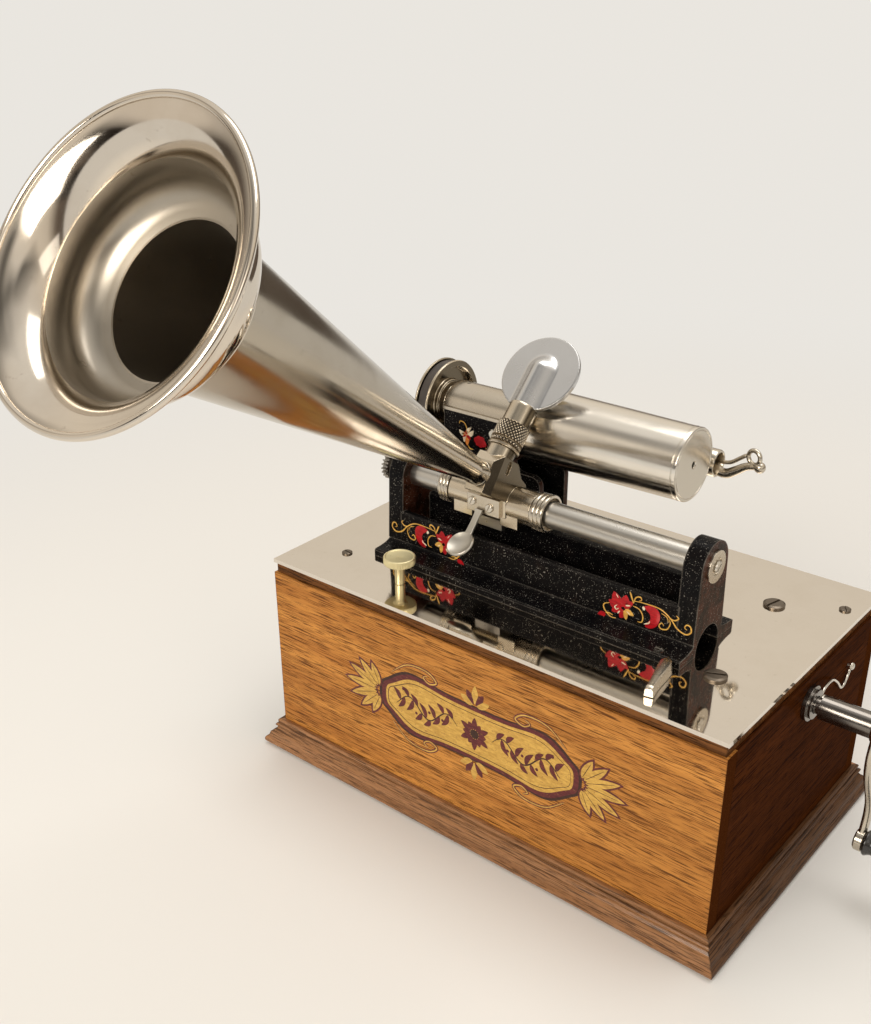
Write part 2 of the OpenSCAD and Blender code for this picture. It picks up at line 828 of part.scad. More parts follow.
module standard_bolts() {
  color("Gainsboro")
    top() {
      for (p = standard_bolt_at)
        translate([p[0], p[1], 4])
          slotted_screw(2.8, 1.8, 1.5, 4 + plate_t + 3);
      translate([-58.5, standard_y0, standard_top - 8])
        rotate([90, 0, 0])
          rotate(30)
            slotted_screw(3.2, 1.6, 1.5, 1.6);
    }
}

module mandrel_bearing() {
  color("Silver")
    top()
      difference() {
        union() {
          rod_x(bearing_x0, bearing_x1, mandrel_at, bearing_r);
          block([standard_x0 - 0.4, standard_y0 - 1.2, standard_top], [standard_x1, standard_y1 + 1.2, standard_top + flange_t]);
        }
        rod_x(bearing_x0 - 1, bearing_x1 + 1, mandrel_at, shaft_r + run_gap);
        for (x = [bearing_x0 + 8, bearing_x0 + 34])
          translate([x, mandrel_y, mandrel_z])
            cylinder(h = bearing_r + 1, r = 1.1);
      }
}

module mandrel_shaft() {
  color("Silver")
    top()
      rod_x(gear_x0 - 2, mandrel_x1 - 4, mandrel_at, shaft_r);
}

module mandrel() {
  r1 = mandrel_r1;
  r0 = mandrel_r0;
  w = mandrel_wall;
  l = mandrel_len;
  color("Gainsboro")
    top()
      along_x(mandrel_x0, mandrel_at)
        rotate_extrude($fn = 96)
          polygon([
            [r0 - w, 0], [r0 - 0.6, 0], [r0, 0.8], [r1, l - 0.8], [r1 - 0.8, l], [1.6, l], [1.6, l - 3.4],
            [shaft_r + seat_gap, l - 3.4], [shaft_r + seat_gap, l - 18], [shaft_r + 5, l - 18], [shaft_r + 5, l - 6],
            [r1 - w, l - 6]
          ]);
}

module mandrel_pulley() {
  p = pulley_w;
  f = flange_w;
  color("Silver")
    top()
      along_x(pulley_x0, mandrel_at)
        rotate_extrude($fn = 96)
          polygon([
            [shaft_r + seat_gap, 0], [pulley_r, 0], [pulley_r, f], [groove_r, f], [groove_r, p - f], [pulley_r, p - f],
            [pulley_r, p], [groove_r - 0.8, p], [groove_r - 2.4, p - 4], [12.3, p - 4], [12.3, p + hub_len],
            [shaft_r + seat_gap, p + hub_len]
          ]);
}

// Outline of the belt loop, set out by d from its middle line
function belt_loop(d) =
  let (
    v = governor_at - mandrel_at,
    a = atan2(v[1], v[0]),
    b = acos((belt_mid - belt_mid / belt_ratio) / norm(v))
  )
  concat(
    arc(mandrel_at, belt_mid + d, a + b, a + 360 - b, 40),
    arc(governor_at, belt_mid / belt_ratio + d, a - b, a + b, 24)
  );

module drive_belt() {
  color("SaddleBrown")
    top()
      difference() {
        along_x(belt_x0)
          linear_extrude(height = belt_w)
            polygon(belt_loop(belt_t / 2));
        along_x(belt_x0 - 1)
          linear_extrude(height = belt_w + 2)
            polygon(belt_loop(-belt_t / 2));
      }
}

module rear_rod() {
  color("Silver")
    top()
      rod_x(-58, 50, rod_at, 3);
}

module rear_hook() {
  at = rod_at;
  color("Silver")
    top()
      difference() {
        union() {
          rod_x(46, 60.2, at, 8);
          bent_rod([
            [52, at[0], at[1] - 2], [62, at[0], at[1] - 2.6], [68, at[0] - 0.5, at[1] - 0.6],
            [74, at[0] - 1, at[1] + 4], [80, at[0] - 1, at[1] + 7.6], [83.5, at[0] - 1, at[1] + 5]
          ], 2.2);
          translate([84, at[0] - 1, at[1] + 4])
            sphere(r = 3.2, $fn = 24);
        }
        rod_x(45, 50.5, at, 3 + seat_gap);
        difference() {
          rod_x(52, 61, at, 6.2);
          translate([51, at[0], at[1] - 2.3])
            rotate([0, 90, 0])
              cylinder(h = 11, r = 2.4);
        }
      }
}

// Carriage
module sleeve_bead(x0, x1) {
  n = 3;
  step = (x1 - x0) / n;
  rod_x(x0, x1, tube_at, collar_r - 0.8);
  for (i = [0:n - 1])
    rod_x(x0 + i * step + 0.25, x0 + (i + 1) * step - 0.25, tube_at, collar_r);
}

module sleeve_collars() {
  color("Silver")
    top() {
      difference() {
        sleeve_bead(collar_x0, collar_x0 + collar_left);
        rod_x(collar_x0 - 1, collar_x0 + collar_left + 1, tube_at, tube_r + run_gap);
      }
      difference() {
        sleeve_bead(collar_x1 - collar_right, collar_x1);
        rod_x(collar_x1 - collar_right - 1, collar_x1 + 1, tube_at, tube_r + run_gap);
        rod_x(collar_x1 - 3, collar_x1 + 1, tube_at, collar_r - 1.6);
      }
    }
}

block_x0 = carriage_x - block_w / 2;
block_x1 = carriage_x + block_w / 2;
clamp_x0 = carriage_x - 16.5;
clamp_x1 = carriage_x + 5.7;
nut_x0 = carriage_x - 14;
nut_x1 = carriage_x + 4;

// Nose of the elbow block, with the socket of the horn
module socket_nose() {
  translate([carriage_x, elbow_y, plate_z + elbow_z])
    rotate([90 - horn_el, 0, 0])
      hull() {
        block([-block_w / 2, -block_low, 0], [block_w / 2, block_top, ridge_s]);
        block([-socket_w / 2, -block_low, 0], [socket_w / 2, socket_top, socket_s]);
      }
}

module carriage_body() {
  seat_y = clamp_y + clamp_t;
  color("Silver")
    difference() {
      union() {
        top() {
          rod_x(sleeve_x0, sleeve_x1, tube_at, sleeve_r);
          along_x(block_x0)
            linear_extrude(height = block_w)
              polygon([
                elbow_at + 0.5 * horn_dir - block_low * horn_up, elbow_at + 0.5 * horn_dir + block_top * horn_up,
                elbow_at - 10.8 * horn_dir + block_top * horn_up, elbow_at - 18.3 * horn_dir + 7.3 * horn_up,
                [tube_y + 9.3, tube_z + 8], [tube_y + 8, tube_z - 2], [seat_y, tube_z - 6], [seat_y, tube_z + 4.5]
              ]);
          block([clamp_x0, seat_y, tube_z - 6], [clamp_x1, tube_y, tube_z + 4.5]);
          block([carriage_x - 28.3, tube_y - 9.4, tube_z - 11], [carriage_x - 15.3, tube_y - 3, tube_z - 4]);
          block([carriage_x + 4.7, tube_y - 9.4, tube_z - 11], [carriage_x + 16.4, tube_y - 3, tube_z - 4]);
        }
        stem_rod(4, boss_len, stem_r);
        socket_nose();
      }
      top() {
        rod_x(sleeve_x0 - 1, sleeve_x1 + 1, tube_at, tube_r + run_gap);
        block([nut_x0 - seat_gap, tube_y - 2.2, tube_z - 13], [nut_x1 + seat_gap, tube_y + 2.2, tube_z]);
        for (p = clamp_screw_at)
          translate([p[0], seat_y - 1, p[1]])
            rotate([-90, 0, 0])
              cylinder(h = 4, r = 1.5 + seat_gap);
        hull()
          for (b = [6.4, 10.4])
            rod_x(block_x1 - 2, block_x1 + 1, elbow_at - 2.8 * horn_dir + b * horn_up, 2);
      }
      horn_frame()
        translate([0, 0, -4])
          cylinder(h = socket_s + 6, r = spigot_r + run_gap);
      stem_rod(4, boss_len + 1, 4);
    }
}

clamp_screw_at = [[carriage_x - 12.9, tube_z + 0.2], [carriage_x - 0.8, tube_z - 1.3]];

module clamp_plate() {
  color("Silver")
    top()
      difference() {
        block([clamp_x0, clamp_y, tube_z - 6], [clamp_x1, clamp_y + clamp_t, tube_z + 4.5]);
        for (p = clamp_screw_at)
          translate([p[0], clamp_y - 1, p[1]])
            rotate([-90, 0, 0])
              cylinder(h = clamp_t + 2, r = 1.5 + seat_gap);
      }
}

module clamp_screws() {
  color("Gainsboro")
    top()
      for (p = clamp_screw_at)
        translate([p[0], clamp_y, p[1]])
          rotate([90, 0, 0])
            rotate(65)
              slotted_screw(2.5, 1.2, 1.5, clamp_t + 2.6);
}

module thumb_lever() {
  x = carriage_x - 7.3;
  bowl = [carriage_x - 9.3, -48, 27];
  strap = [[clamp_y - seat_gap - 0.8, tube_z - 3.4], [clamp_y - 2.4, tube_z - 6.4], [bowl[1] + 6.1, bowl[2] + 3.8]];
  color("Silver")
    top() {
      translate(bowl)
        rotate([32, -6, 0])
          rotate_extrude()
            polygon(concat(
              arc([0, 14], 16.2, -90, -90 + asin(spoon_r / 16.2), 8),
              flip(arc([0, 14.3], 15, -90, -90 + asin((spoon_r - 0.7) / 15), 8))
            ));
      for (i = [0:1])
        hull()
          for (p = [strap[i], strap[i + 1]])
            rod_x(x - 2.7, x + 2.7, p, 0.8, $fn = 16);
    }
}

module half_nut() {
  color("DimGray")
    top()
      difference() {
        union() {
          block([nut_x0, tube_y - 7, tube_z - 16], [nut_x1, tube_y + 6, tube_z - sleeve_r - 0.05]);
          block([nut_x0, tube_y - 2.15, tube_z - 12], [nut_x1, tube_y + 2.15, tube_z - feed_r + 0.4]);
        }
        rod_x(nut_x0 - 1, nut_x1 + 1, tube_at, feed_r + 0.35);
      }
}

// Reproducer
module union_collar() {
  color("Silver")
    difference() {
      union() {
        stem_rod(boss_len, boss_len + 3.2, knurl_r + 0.2);
        stem_rod(boss_len + 3, boss_len + 4.2, knurl_r - 1);
        stem_rod(boss_len + 4, boss_len + 4 + knurl_len, knurl_r);
      }
      stem_rod(boss_len - 1, boss_len + 6, 4);
      stem_rod(boss_len + 5, boss_len + 20, stem_r + seat_gap);
    }
}

module reproducer_disc() {
  color("Gainsboro")
    difference() {
      union() {
        stem_rod(boss_len + 5, disc_s - disc_r + 4, stem_r);
        stem_frame()
          translate([0, disc_s, disc_rise - disc_t])
            rotate_extrude($fn = 96)
              polygon([[0, 0], [disc_r - 0.6, 0], [disc_r, 0.6], [disc_r, disc_t - 0.5], [disc_r - 0.5, disc_t], [0, disc_t]]);
        stem_frame()
          difference() {
            union() {
              translate([0, disc_s - disc_r - 1, 0])
                rotate([-90, 0, 0])
                  cylinder(h = disc_r + 4, r = stem_r - 0.8);
              translate([0, disc_s + 3, 0])
                sphere(r = stem_r - 0.7);
            }
            translate([-20, disc_s - 30, -20 + disc_rise - disc_t])
              cube([40, 60, 20]);
          }
      }
      stem_rod(boss_len + 4, disc_s - 12, 4);
    }
}

module sound_box() {
  color("Gainsboro")
    stem_frame()
      translate([0, disc_s, disc_rise - disc_t - box_h])
        difference() {
          cylinder(h = box_h, r = box_r);
          translate([0, 0, -1])
            cylinder(h = box_h - 0.6, r = box_r - 2);
        }
}

module diaphragm() {
  color("Gold")
    stem_frame()
      translate([0, disc_s, disc_rise - disc_t - box_h + 0.6])
        cylinder(h = 0.6, r = box_r - 2 - seat_gap);
}

module stylus_bar() {
  z = disc_rise - disc_t - box_h;
  color("DimGray")
    stem_frame()
      translate([0, disc_s, z]) {
        translate([-1, -box_r + 0.5, -2])
          cube([2, box_r + 1, 1.4]);
        translate([-1, -box_r + 0.5, -1])
          cube([2, 1.5, 1]);
        translate([0, 0, -3.4])
          cylinder(h = 2, r1 = 0.4, r2 = 0.8);
        translate([0, 0, -1])
          cylinder(h = 1.6, r = 0.5);
      }
}

// Horn
cone_x = socket_s + 0.8;
ferrule_x = cone_x + ferrule_len;
cone_slope = (cone_r - 6.2) / (cone_s - 11.7);
function cone_at(s) = 6.2 + (s - 11.7) * cone_slope;

module horn_cone() {
  color("Silver")
    horn_frame()
      rotate_extrude($fn = 128)
        polygon([
          [spigot_r, cone_x - spigot_len], [spigot_r, cone_x], [ferrule_r, cone_x + 0.3],
          [ferrule_r, ferrule_x - 0.4], [cone_at(ferrule_x), ferrule_x],
          [cone_at(cone_s), cone_s], [cone_at(cone_s) - horn_wall, cone_s],
          [cone_at(ferrule_x) - horn_wall, ferrule_x], [spigot_r - horn_wall, cone_x],
          [spigot_r - horn_wall, cone_x - spigot_len]
        ]);
}

neck_r = cone_r + seat_gap;
throat_at = [neck_r + horn_wall / 2, cone_s + throat_r];
flare_r = (rim_r - bead_r - throat_at[0] - throat_r) / (1 + cos(100));
flare_at = [throat_at[0] + throat_r + flare_r, cone_s + throat_r + 1];
rim_at = flare_at + flare_r * [cos(100), sin(100)];
function bell_side(d) = concat(
  arc(throat_at, throat_r + d, -80, 0, 10),
  arc(flare_at, flare_r - d, 180, 104, 14)
);

module horn_ring() {
  color("Silver")
    horn_frame()
      translate([0, 0, cone_s - 3])
        rotate_extrude($fn = 128)
          polygon(concat(
            [[neck_r + horn_wall + seat_gap, -2.4]],
            arc([neck_r + horn_wall + seat_gap, 0], ring_h, -80, 80, 8),
            [[neck_r + horn_wall + seat_gap, 2.4]]
          ));
}

module horn_bell() {
  t = horn_wall / 2;
  color("Silver")
    horn_frame() {
      rotate_extrude($fn = 128)
        polygon(concat(
          [[neck_r, cone_s - 6], [neck_r + horn_wall, cone_s - 6], [neck_r + horn_wall, cone_s - 0.2]],
          bell_side(t),
          flip(bell_side(-t)),
          [[neck_r, cone_s]]
        ));
      translate([0, 0, rim_at[1]])
        rotate_extrude($fn = 128)
          translate([rim_at[0], 0])
            circle(r = bead_r, $fn = 24);
    }
}

// Crank
module crank_escutcheon() {
  x = case_w / 2;
  color("Silver")
    top()
      difference() {
        union() {
          rod_x(x, x + 2.4, crank_at, 9.8);
          rod_x(x + 2, x + 4.2, crank_at, 8);
        }
        rod_x(x - 1, x + 5, crank_at, crank_neck_r + pass_gap);
        rod_x(x + 2.4, x + 5, clip_screw_at, clip_head_r + pass_gap);
        rod_x(x - 1, x + 3, clip_screw_at, 1.5 + seat_gap);
      }
}

nail_at = [52.8, -27.2];
clip_screw_at = [crank_y + 8.8, crank_z - 2.6];
clip_head_r = 3.9;

module clip_nail(gap) {
  top() {
    rod_x(case_w / 2 - 6, case_w / 2 + 2.6, nail_at, 1 + gap);
    rod_x(case_w / 2 - 6, case_w / 2 + 3, clip_screw_at, 1.5 + gap);
  }
}

module crank_clip() {
  x = case_w / 2;
  color("Silver") {
    top() {
      bent_rod([
        [x + 1, clip_screw_at[0] + 4.6, clip_screw_at[1] + 5.4], [x + 1, 22, crank_z + 2.8], [x + 1, 29.5, crank_z + 0.2],
        [x + 1, 37, crank_z - 4.6], [x + 1, 44.6, -36.6], [x + 1, 49.5, -35.6],
        [x + 0.9, nail_at[0] + 0.4, nail_at[1] - 2.1]
      ], 0.8);
      rod_x(x + 2.4, x + 4.2, clip_screw_at, clip_head_r);
      along_x(x + 4.2, clip_screw_at)
        cylinder(h = 1.5, r1 = clip_head_r, r2 = clip_head_r * 0.55);
      rod_x(x + 2, x + 3, nail_at, 2.2);
    }
    clip_nail(0);
  }
}

module crank_shaft() {
  color("DimGray")
    top() {
      rod_x(winding_x - 2, crank_x1, crank_at, crank_neck_r);
      rod_x(case_w / 2 + crank_neck, crank_x1, crank_at, crank_r);
      gear_x(winding_x, 6, crank_at, pinion_teeth, great_module, -90);
    }
}

// Middle line of the crank arm
function arm_mid(t) = [crank_y + crank_shift * t - 6.5 * sin(360 * t) * (1 - 0.3 * t), crank_z - crank_drop * t];
function arm_side(s) = [for (i = [1:19])
  let (t = i / 20, v = arm_mid(t + 0.01) - arm_mid(t - 0.01), n = [-v[1], v[0]] / norm(v))
  arm_mid(t) + s * arm_w / 2 * (1.15 - 0.3 * t) * n];

module crank_arm() {
  color("Silver")
    top() {
      along_x(crank_x1)
        linear_extrude(height = arm_t)
          polygon(concat(arm_side(1), flip(arm_side(-1))));
      rod_x(crank_x1, crank_x1 + arm_t + 1, crank_at, crank_r + 2);
      rod_x(crank_x1 - 0.5, crank_x1 + arm_t + 0.5, knob_at, 6);
      rod_x(crank_x1 + arm_t, crank_x1 + arm_t + knob_len + 3, knob_at, 2.5);
      rod_x(crank_x1 + arm_t + knob_len + 1, crank_x1 + arm_t + knob_len + 3, knob_at, 4);
    }
}

module crank_knob() {
  r = knob_r;
  l = knob_len;
  color("Black")
    top()
      along_x(crank_x1 + arm_t + 0.8, knob_at)
        rotate_extrude($fn = 64)
          polygon([
            [2.5 + run_gap, 0], [r * 0.72, 0], [r * 0.78, 1.5], [r * 0.62, 4], [r * 0.66, 7], [r * 0.8, l * 0.34],
            [r * 0.94, l * 0.5], [r, l * 0.66], [r * 0.97, l * 0.8], [r * 0.84, l * 0.92], [r * 0.62, l], [2.5 + run_gap, l]
          ]);
}

// Controls
module speed_screw() {
  color("Goldenrod")
    top()
      translate([speed_x, speed_y, 0]) {
        translate([0, 0, -14])
          cylinder(h = speed_h + 14.5, r = speed_stem_r);
        translate([0, 0, speed_h - 2])
          cylinder(h = 2.2, r1 = speed_stem_r + 0.4, r2 = speed_stem_r + 2);
        translate([0, 0, speed_h])
          cylinder(h = 4, r = speed_r);
        translate([0, 0, speed_h + 3.9])
          cylinder(h = 0.7, r1 = speed_r, r2 = speed_r - 1.2);
      }
}

module start_lever() {
  color("Silver")
    top()
      translate([start_x, start_y, 0]) {
        translate([0, 0, -8])
          cylinder(h = 10, r = 3);
        rotate(start_turn)
          hull() {
            translate([0, 0, pass_gap])
              cylinder(h = start_h - pass_gap, r = start_w / 2, $fn = 32);
            block([-start_tip / 2, -start_len, pass_gap], [start_tip / 2, -start_len + 2, start_h * 0.6]);
          }
      }
}

// Motor
module motor_plates() {
  z0 = -plate_t - motor_h;
  holes = [barrel_at, second_at, governor_at];
  color("DarkGray")
    top()
      for (i = [0:2])
        difference() {
          union() {
            block([motor_x[i], -62, z0], [motor_x[i] + motor_t, 68, -plate_t]);
            block([motor_x[i] - 8, -62, -plate_t - 3], [motor_x[i] + 12, 68, -plate_t]);
          }
          for (p = pillar_at)
            rod_x(motor_x[i] - 1, motor_x[i] + motor_t + 1, p, pillar_r + seat_gap);
          for (p = plate_screw_at)
            translate([p[0], p[1], -plate_t - 12])
              cylinder(h = 12, r = 2 + seat_gap);
          rod_x(motor_x[i] - 1, motor_x[i] + motor_t + 1, second_at, arbor_r + run_gap);
          if (i < 2)
            rod_x(motor_x[i] - 1, motor_x[i] + motor_t + 1, barrel_at, barrel_arbor_r + run_gap);
          if (i > 0)
            rod_x(motor_x[i] - 1, motor_x[i] + motor_t + 1, governor_at, arbor_r + run_gap);
          if (i == 0)
            rod_x(motor_x[i] - 1, motor_x[i] + motor_t + 1, crank_at, crank_neck_r + run_gap);
          if (i == 0)
            rod_x(motor_x[i] - 1, motor_x[i] + motor_t + 1, click_at, 2 + seat_gap);
        }
}

module motor_pillars() {
  color("Gray")
    top()
      for (p = pillar_at)
        rod_x(motor_x[2], motor_x[0] + motor_t, p, pillar_r);
}

ratchet_r = 14;
click_at = barrel_at + [-22, 10];

module ratchet_click() {
  tip = barrel_at + (ratchet_r + 0.8) * [cos(146), sin(146)];
  v = tip - click_at;
  color("Gray")
    top() {
      rod_x(motor_x[0] - 2.6, motor_x[0] + motor_t, click_at, 2);
      along_x(motor_x[0] - 2.6)
        linear_extrude(height = 2.4)
          polygon([
            click_at + [-2.6, 0], click_at + [0, 2.6], tip + [0, 1.6], tip + [0.4, 0.4], click_at + [0, -2.6]
          ]);
    }
}

module spring_barrel() {
  color("Goldenrod")
    top() {
      difference() {
        union() {
          gear_x(barrel_x0, 6, barrel_at, great_teeth, great_module, second_angle);
          rod_x(barrel_x0 + 5, barrel_x1, barrel_at, barrel_r);
        }
        rod_x(barrel_x0 + 10, barrel_x1 + 1, barrel_at, barrel_r - 2);
        rod_x(barrel_x0 - 1, barrel_x0 + 11, barrel_at, barrel_arbor_r + run_gap);
      }
      difference() {
        rod_x(barrel_x1 - 2, barrel_x1, barrel_at, barrel_r - 2 - seat_gap);
        rod_x(barrel_x1 - 3, barrel_x1 + 1, barrel_at, barrel_arbor_r + run_gap);
      }
    }
}

module mainspring() {
  color("SlateGray")
    top()
      difference() {
        rod_x(barrel_x0 + 11, barrel_x1 - 3, barrel_at, barrel_r - 2.1);
        rod_x(barrel_x0 + 10, barrel_x1 - 2, barrel_at, barrel_arbor_r + 3);
      }
}

module barrel_arbor() {
  color("Gray")
    top() {
      rod_x(motor_x[1], motor_x[0] + motor_t, barrel_at, barrel_arbor_r);
      gear_x(winding_x, 6, barrel_at, winding_teeth, great_module, 90 + 180 / winding_teeth);
      along_x(motor_x[0] - 2.6, barrel_at)
        linear_extrude(height = 2.2)
          polygon([for (i = [0:17], q = [0, 1]) (ratchet_r - 2 * q) * [cos(20 * i + q * 0.8), sin(20 * i + q * 0.8)]]);
    }
}

second_phase = mesh_angle(second_angle, great_teeth, train_teeth, second_angle);
governor_phase = mesh_angle(governor_angle, second_teeth, train_teeth, governor_angle);

module second_arbor() {
  color("Gray")
    top() {
      rod_x(arbor_x0, motor_x[0] + motor_t, second_at, arbor_r);
      gear_x(barrel_x0 - 1, 8, second_at, train_teeth, great_module, second_phase);
      gear_x(6, 4, second_at, second_teeth, second_module, governor_angle);
    }
}

module governor_arbor() {
  color("Gray")
    top() {
      rod_x(pulley_x0 - 0.6, motor_x[1] + motor_t, governor_at, arbor_r);
      gear_x(5, 6, governor_at, train_teeth, second_module, governor_phase);
      rod_x(-16, -12, governor_at, 6);
      rod_x(-50, -46, governor_at, 6);
      rod_x(-42, -40, governor_at, 13);
      for (a = [0, 120, 240])
        along_x(0, governor_at)
          rotate(a) {
            translate([8, 0, -34])
              cylinder(h = 8, r = 3.6);
            translate([4.6, -2, -48])
              cube([0.8, 4, 34]);
          }
      drive_pulley();
    }
}

module drive_pulley() {
  p = pulley_w;
  f = flange_w;
  along_x(pulley_x0, governor_at)
    rotate_extrude()
      polygon([
        [arbor_r + seat_gap, 0], [drive_groove + 3, 0], [drive_groove + 3, f], [drive_groove, f], [drive_groove, p - f],
        [drive_groove + 3, p - f], [drive_groove + 3, p], [arbor_r + seat_gap, p]
      ]);
}

front_panel();
rear_panel();
left_panel();
right_panel();
bottom_board();
front_moulding();
rear_moulding();
left_moulding();
right_moulding();
top_rails();
bedplate();
plate_screws();
carriage_frame();
frame_bolts();
mandrel_standard();
standard_bolts();
mandrel_bearing();
carriage_tube();
tube_washer();
tube_screw();
idler_stud();
drive_belt();
rear_rod();
rear_hook();
crank_escutcheon();
crank_clip();
motor_plates();
motor_pillars();
ratchet_click();
mandrel_shaft();
mandrel();
mandrel_pulley();
mandrel_gear();
idler_gear();
feed_screw();
feed_gear();
sleeve_collars();
carriage_body();
clamp_plate();
clamp_screws();
thumb_lever();
half_nut();
union_collar();
reproducer_disc();
sound_box();
diaphragm();
stylus_bar();
horn_cone();
horn_ring();
horn_bell();
spring_barrel();
mainspring();
barrel_arbor();
second_arbor();
governor_arbor();
crank_shaft();
crank_arm();
crank_knob();
start_lever();
speed_screw();
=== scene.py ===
"""Studio scene of a table-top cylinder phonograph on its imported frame."""
import math

import bmesh
import bpy
from mathutils import Matrix, Vector


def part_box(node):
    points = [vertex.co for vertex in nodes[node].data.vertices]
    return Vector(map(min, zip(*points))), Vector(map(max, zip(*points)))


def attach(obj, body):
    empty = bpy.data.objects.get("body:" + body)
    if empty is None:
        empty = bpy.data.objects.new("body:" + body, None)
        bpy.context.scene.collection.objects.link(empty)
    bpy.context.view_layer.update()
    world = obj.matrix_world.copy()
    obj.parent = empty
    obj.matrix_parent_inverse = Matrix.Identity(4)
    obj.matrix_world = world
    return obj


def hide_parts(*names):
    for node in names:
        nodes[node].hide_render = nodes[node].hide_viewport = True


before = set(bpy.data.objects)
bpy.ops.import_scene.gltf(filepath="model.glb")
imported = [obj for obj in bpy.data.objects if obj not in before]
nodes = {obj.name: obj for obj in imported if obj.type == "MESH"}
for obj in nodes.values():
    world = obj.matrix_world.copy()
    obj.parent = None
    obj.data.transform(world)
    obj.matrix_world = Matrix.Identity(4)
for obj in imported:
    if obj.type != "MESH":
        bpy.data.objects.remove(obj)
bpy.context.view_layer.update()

# Sizes in millimetres; the top of the bedplate, from which the other heights are taken
PLATE = 134.0
# Least radius of a turned profile
AXIS = 0.01
# One millimetre in metres
MM = 0.001
# Axes along the case, as depth and height
TUBE = (-20.5, 47.5)
MANDREL = (22.0, 78.8)
GOVERNOR = (22.0, -64.2)
CRANK = (2.0, -25.0)
KNOB = (6.0, -98.6)
ROD = (58.0, 66.9)
# Elbow of the carriage, and the slopes in degrees of what it joins
ELBOW = (-30.7, -35.4, 65.7)
STEM_RISE = 44.3
HORN_RISE = 34.8
HORN_TURN = 2.9


# Shapes


def top(x, y, z):
    """Point in metres from millimetres above the bedplate"""
    return Vector((x, y, z + PLATE)) * MM


def spun(*turns):
    """Turns in degrees, each about an axis of the turns before it"""
    matrix = Matrix.Identity(4)
    for angle, axis in turns:
        matrix @= Matrix.Rotation(math.radians(angle), 4, axis)
    return matrix


def place(origin, *turns):
    """Frame that takes millimetres to metres"""
    return Matrix.Translation(origin) @ spun(*turns) @ Matrix.Scale(MM, 4)


def along_x(at, x):
    """Frame whose Z runs along the case"""
    return place(top(x, *at), (90, "Z"), (90, "X"))


def upright(x, y, z=0.0):
    """Frame whose Z runs up"""
    return place(top(x, y, z))


STEM = place(top(*ELBOW), (180, "Z"), (90 - STEM_RISE, "X"))
HORN = place(top(*ELBOW), (HORN_TURN, "Z"), (90 - HORN_RISE, "X"))


def arc(centre, radius, start, end, count):
    """Points of an arc, angles in degrees"""
    points = []
    for i in range(count + 1):
        a = math.radians(start + (end - start) * i / count)
        points.append((centre[0] + radius * math.cos(a), centre[1] + radius * math.sin(a)))
    return points


def around(count, shift=0.0):
    """Angles of equal steps round a circle"""
    return [math.tau * (k + shift) / count for k in range(count)]


def circle(centre, radius, count):
    return [Vector(centre) + radius * Vector((math.cos(a), math.sin(a))) for a in around(count)]


def squared(value, power):
    """Sine or cosine that squares up a circle"""
    return math.copysign(abs(value) ** power, value)


def off_axis(profile):
    """Profile kept just clear of the axis it turns about"""
    return [(max(AXIS, r), s) for r, s in profile]


def curve(points, steps=8):
    """Smooth line through points"""
    points = [Vector(p) for p in points]
    ends = [2 * points[0] - points[1]] + points + [2 * points[-1] - points[-2]]
    line = []
    for i in range(1, len(ends) - 2):
        p0, p1, p2, p3 = ends[i - 1:i + 3]
        for k in range(steps):
            t = k / steps
            line.append(0.5 * (
                2 * p1 + (p2 - p0) * t + (2 * p0 - 5 * p1 + 4 * p2 - p3) * t * t
                + (3 * p1 - p0 - 3 * p2 + p3) * t ** 3
            ))
    line.append(points[-1])
    return line


def linked(name, data):
    """New object in the scene"""
    obj = bpy.data.objects.new(name, data)
    bpy.context.scene.collection.objects.link(obj)
    return obj


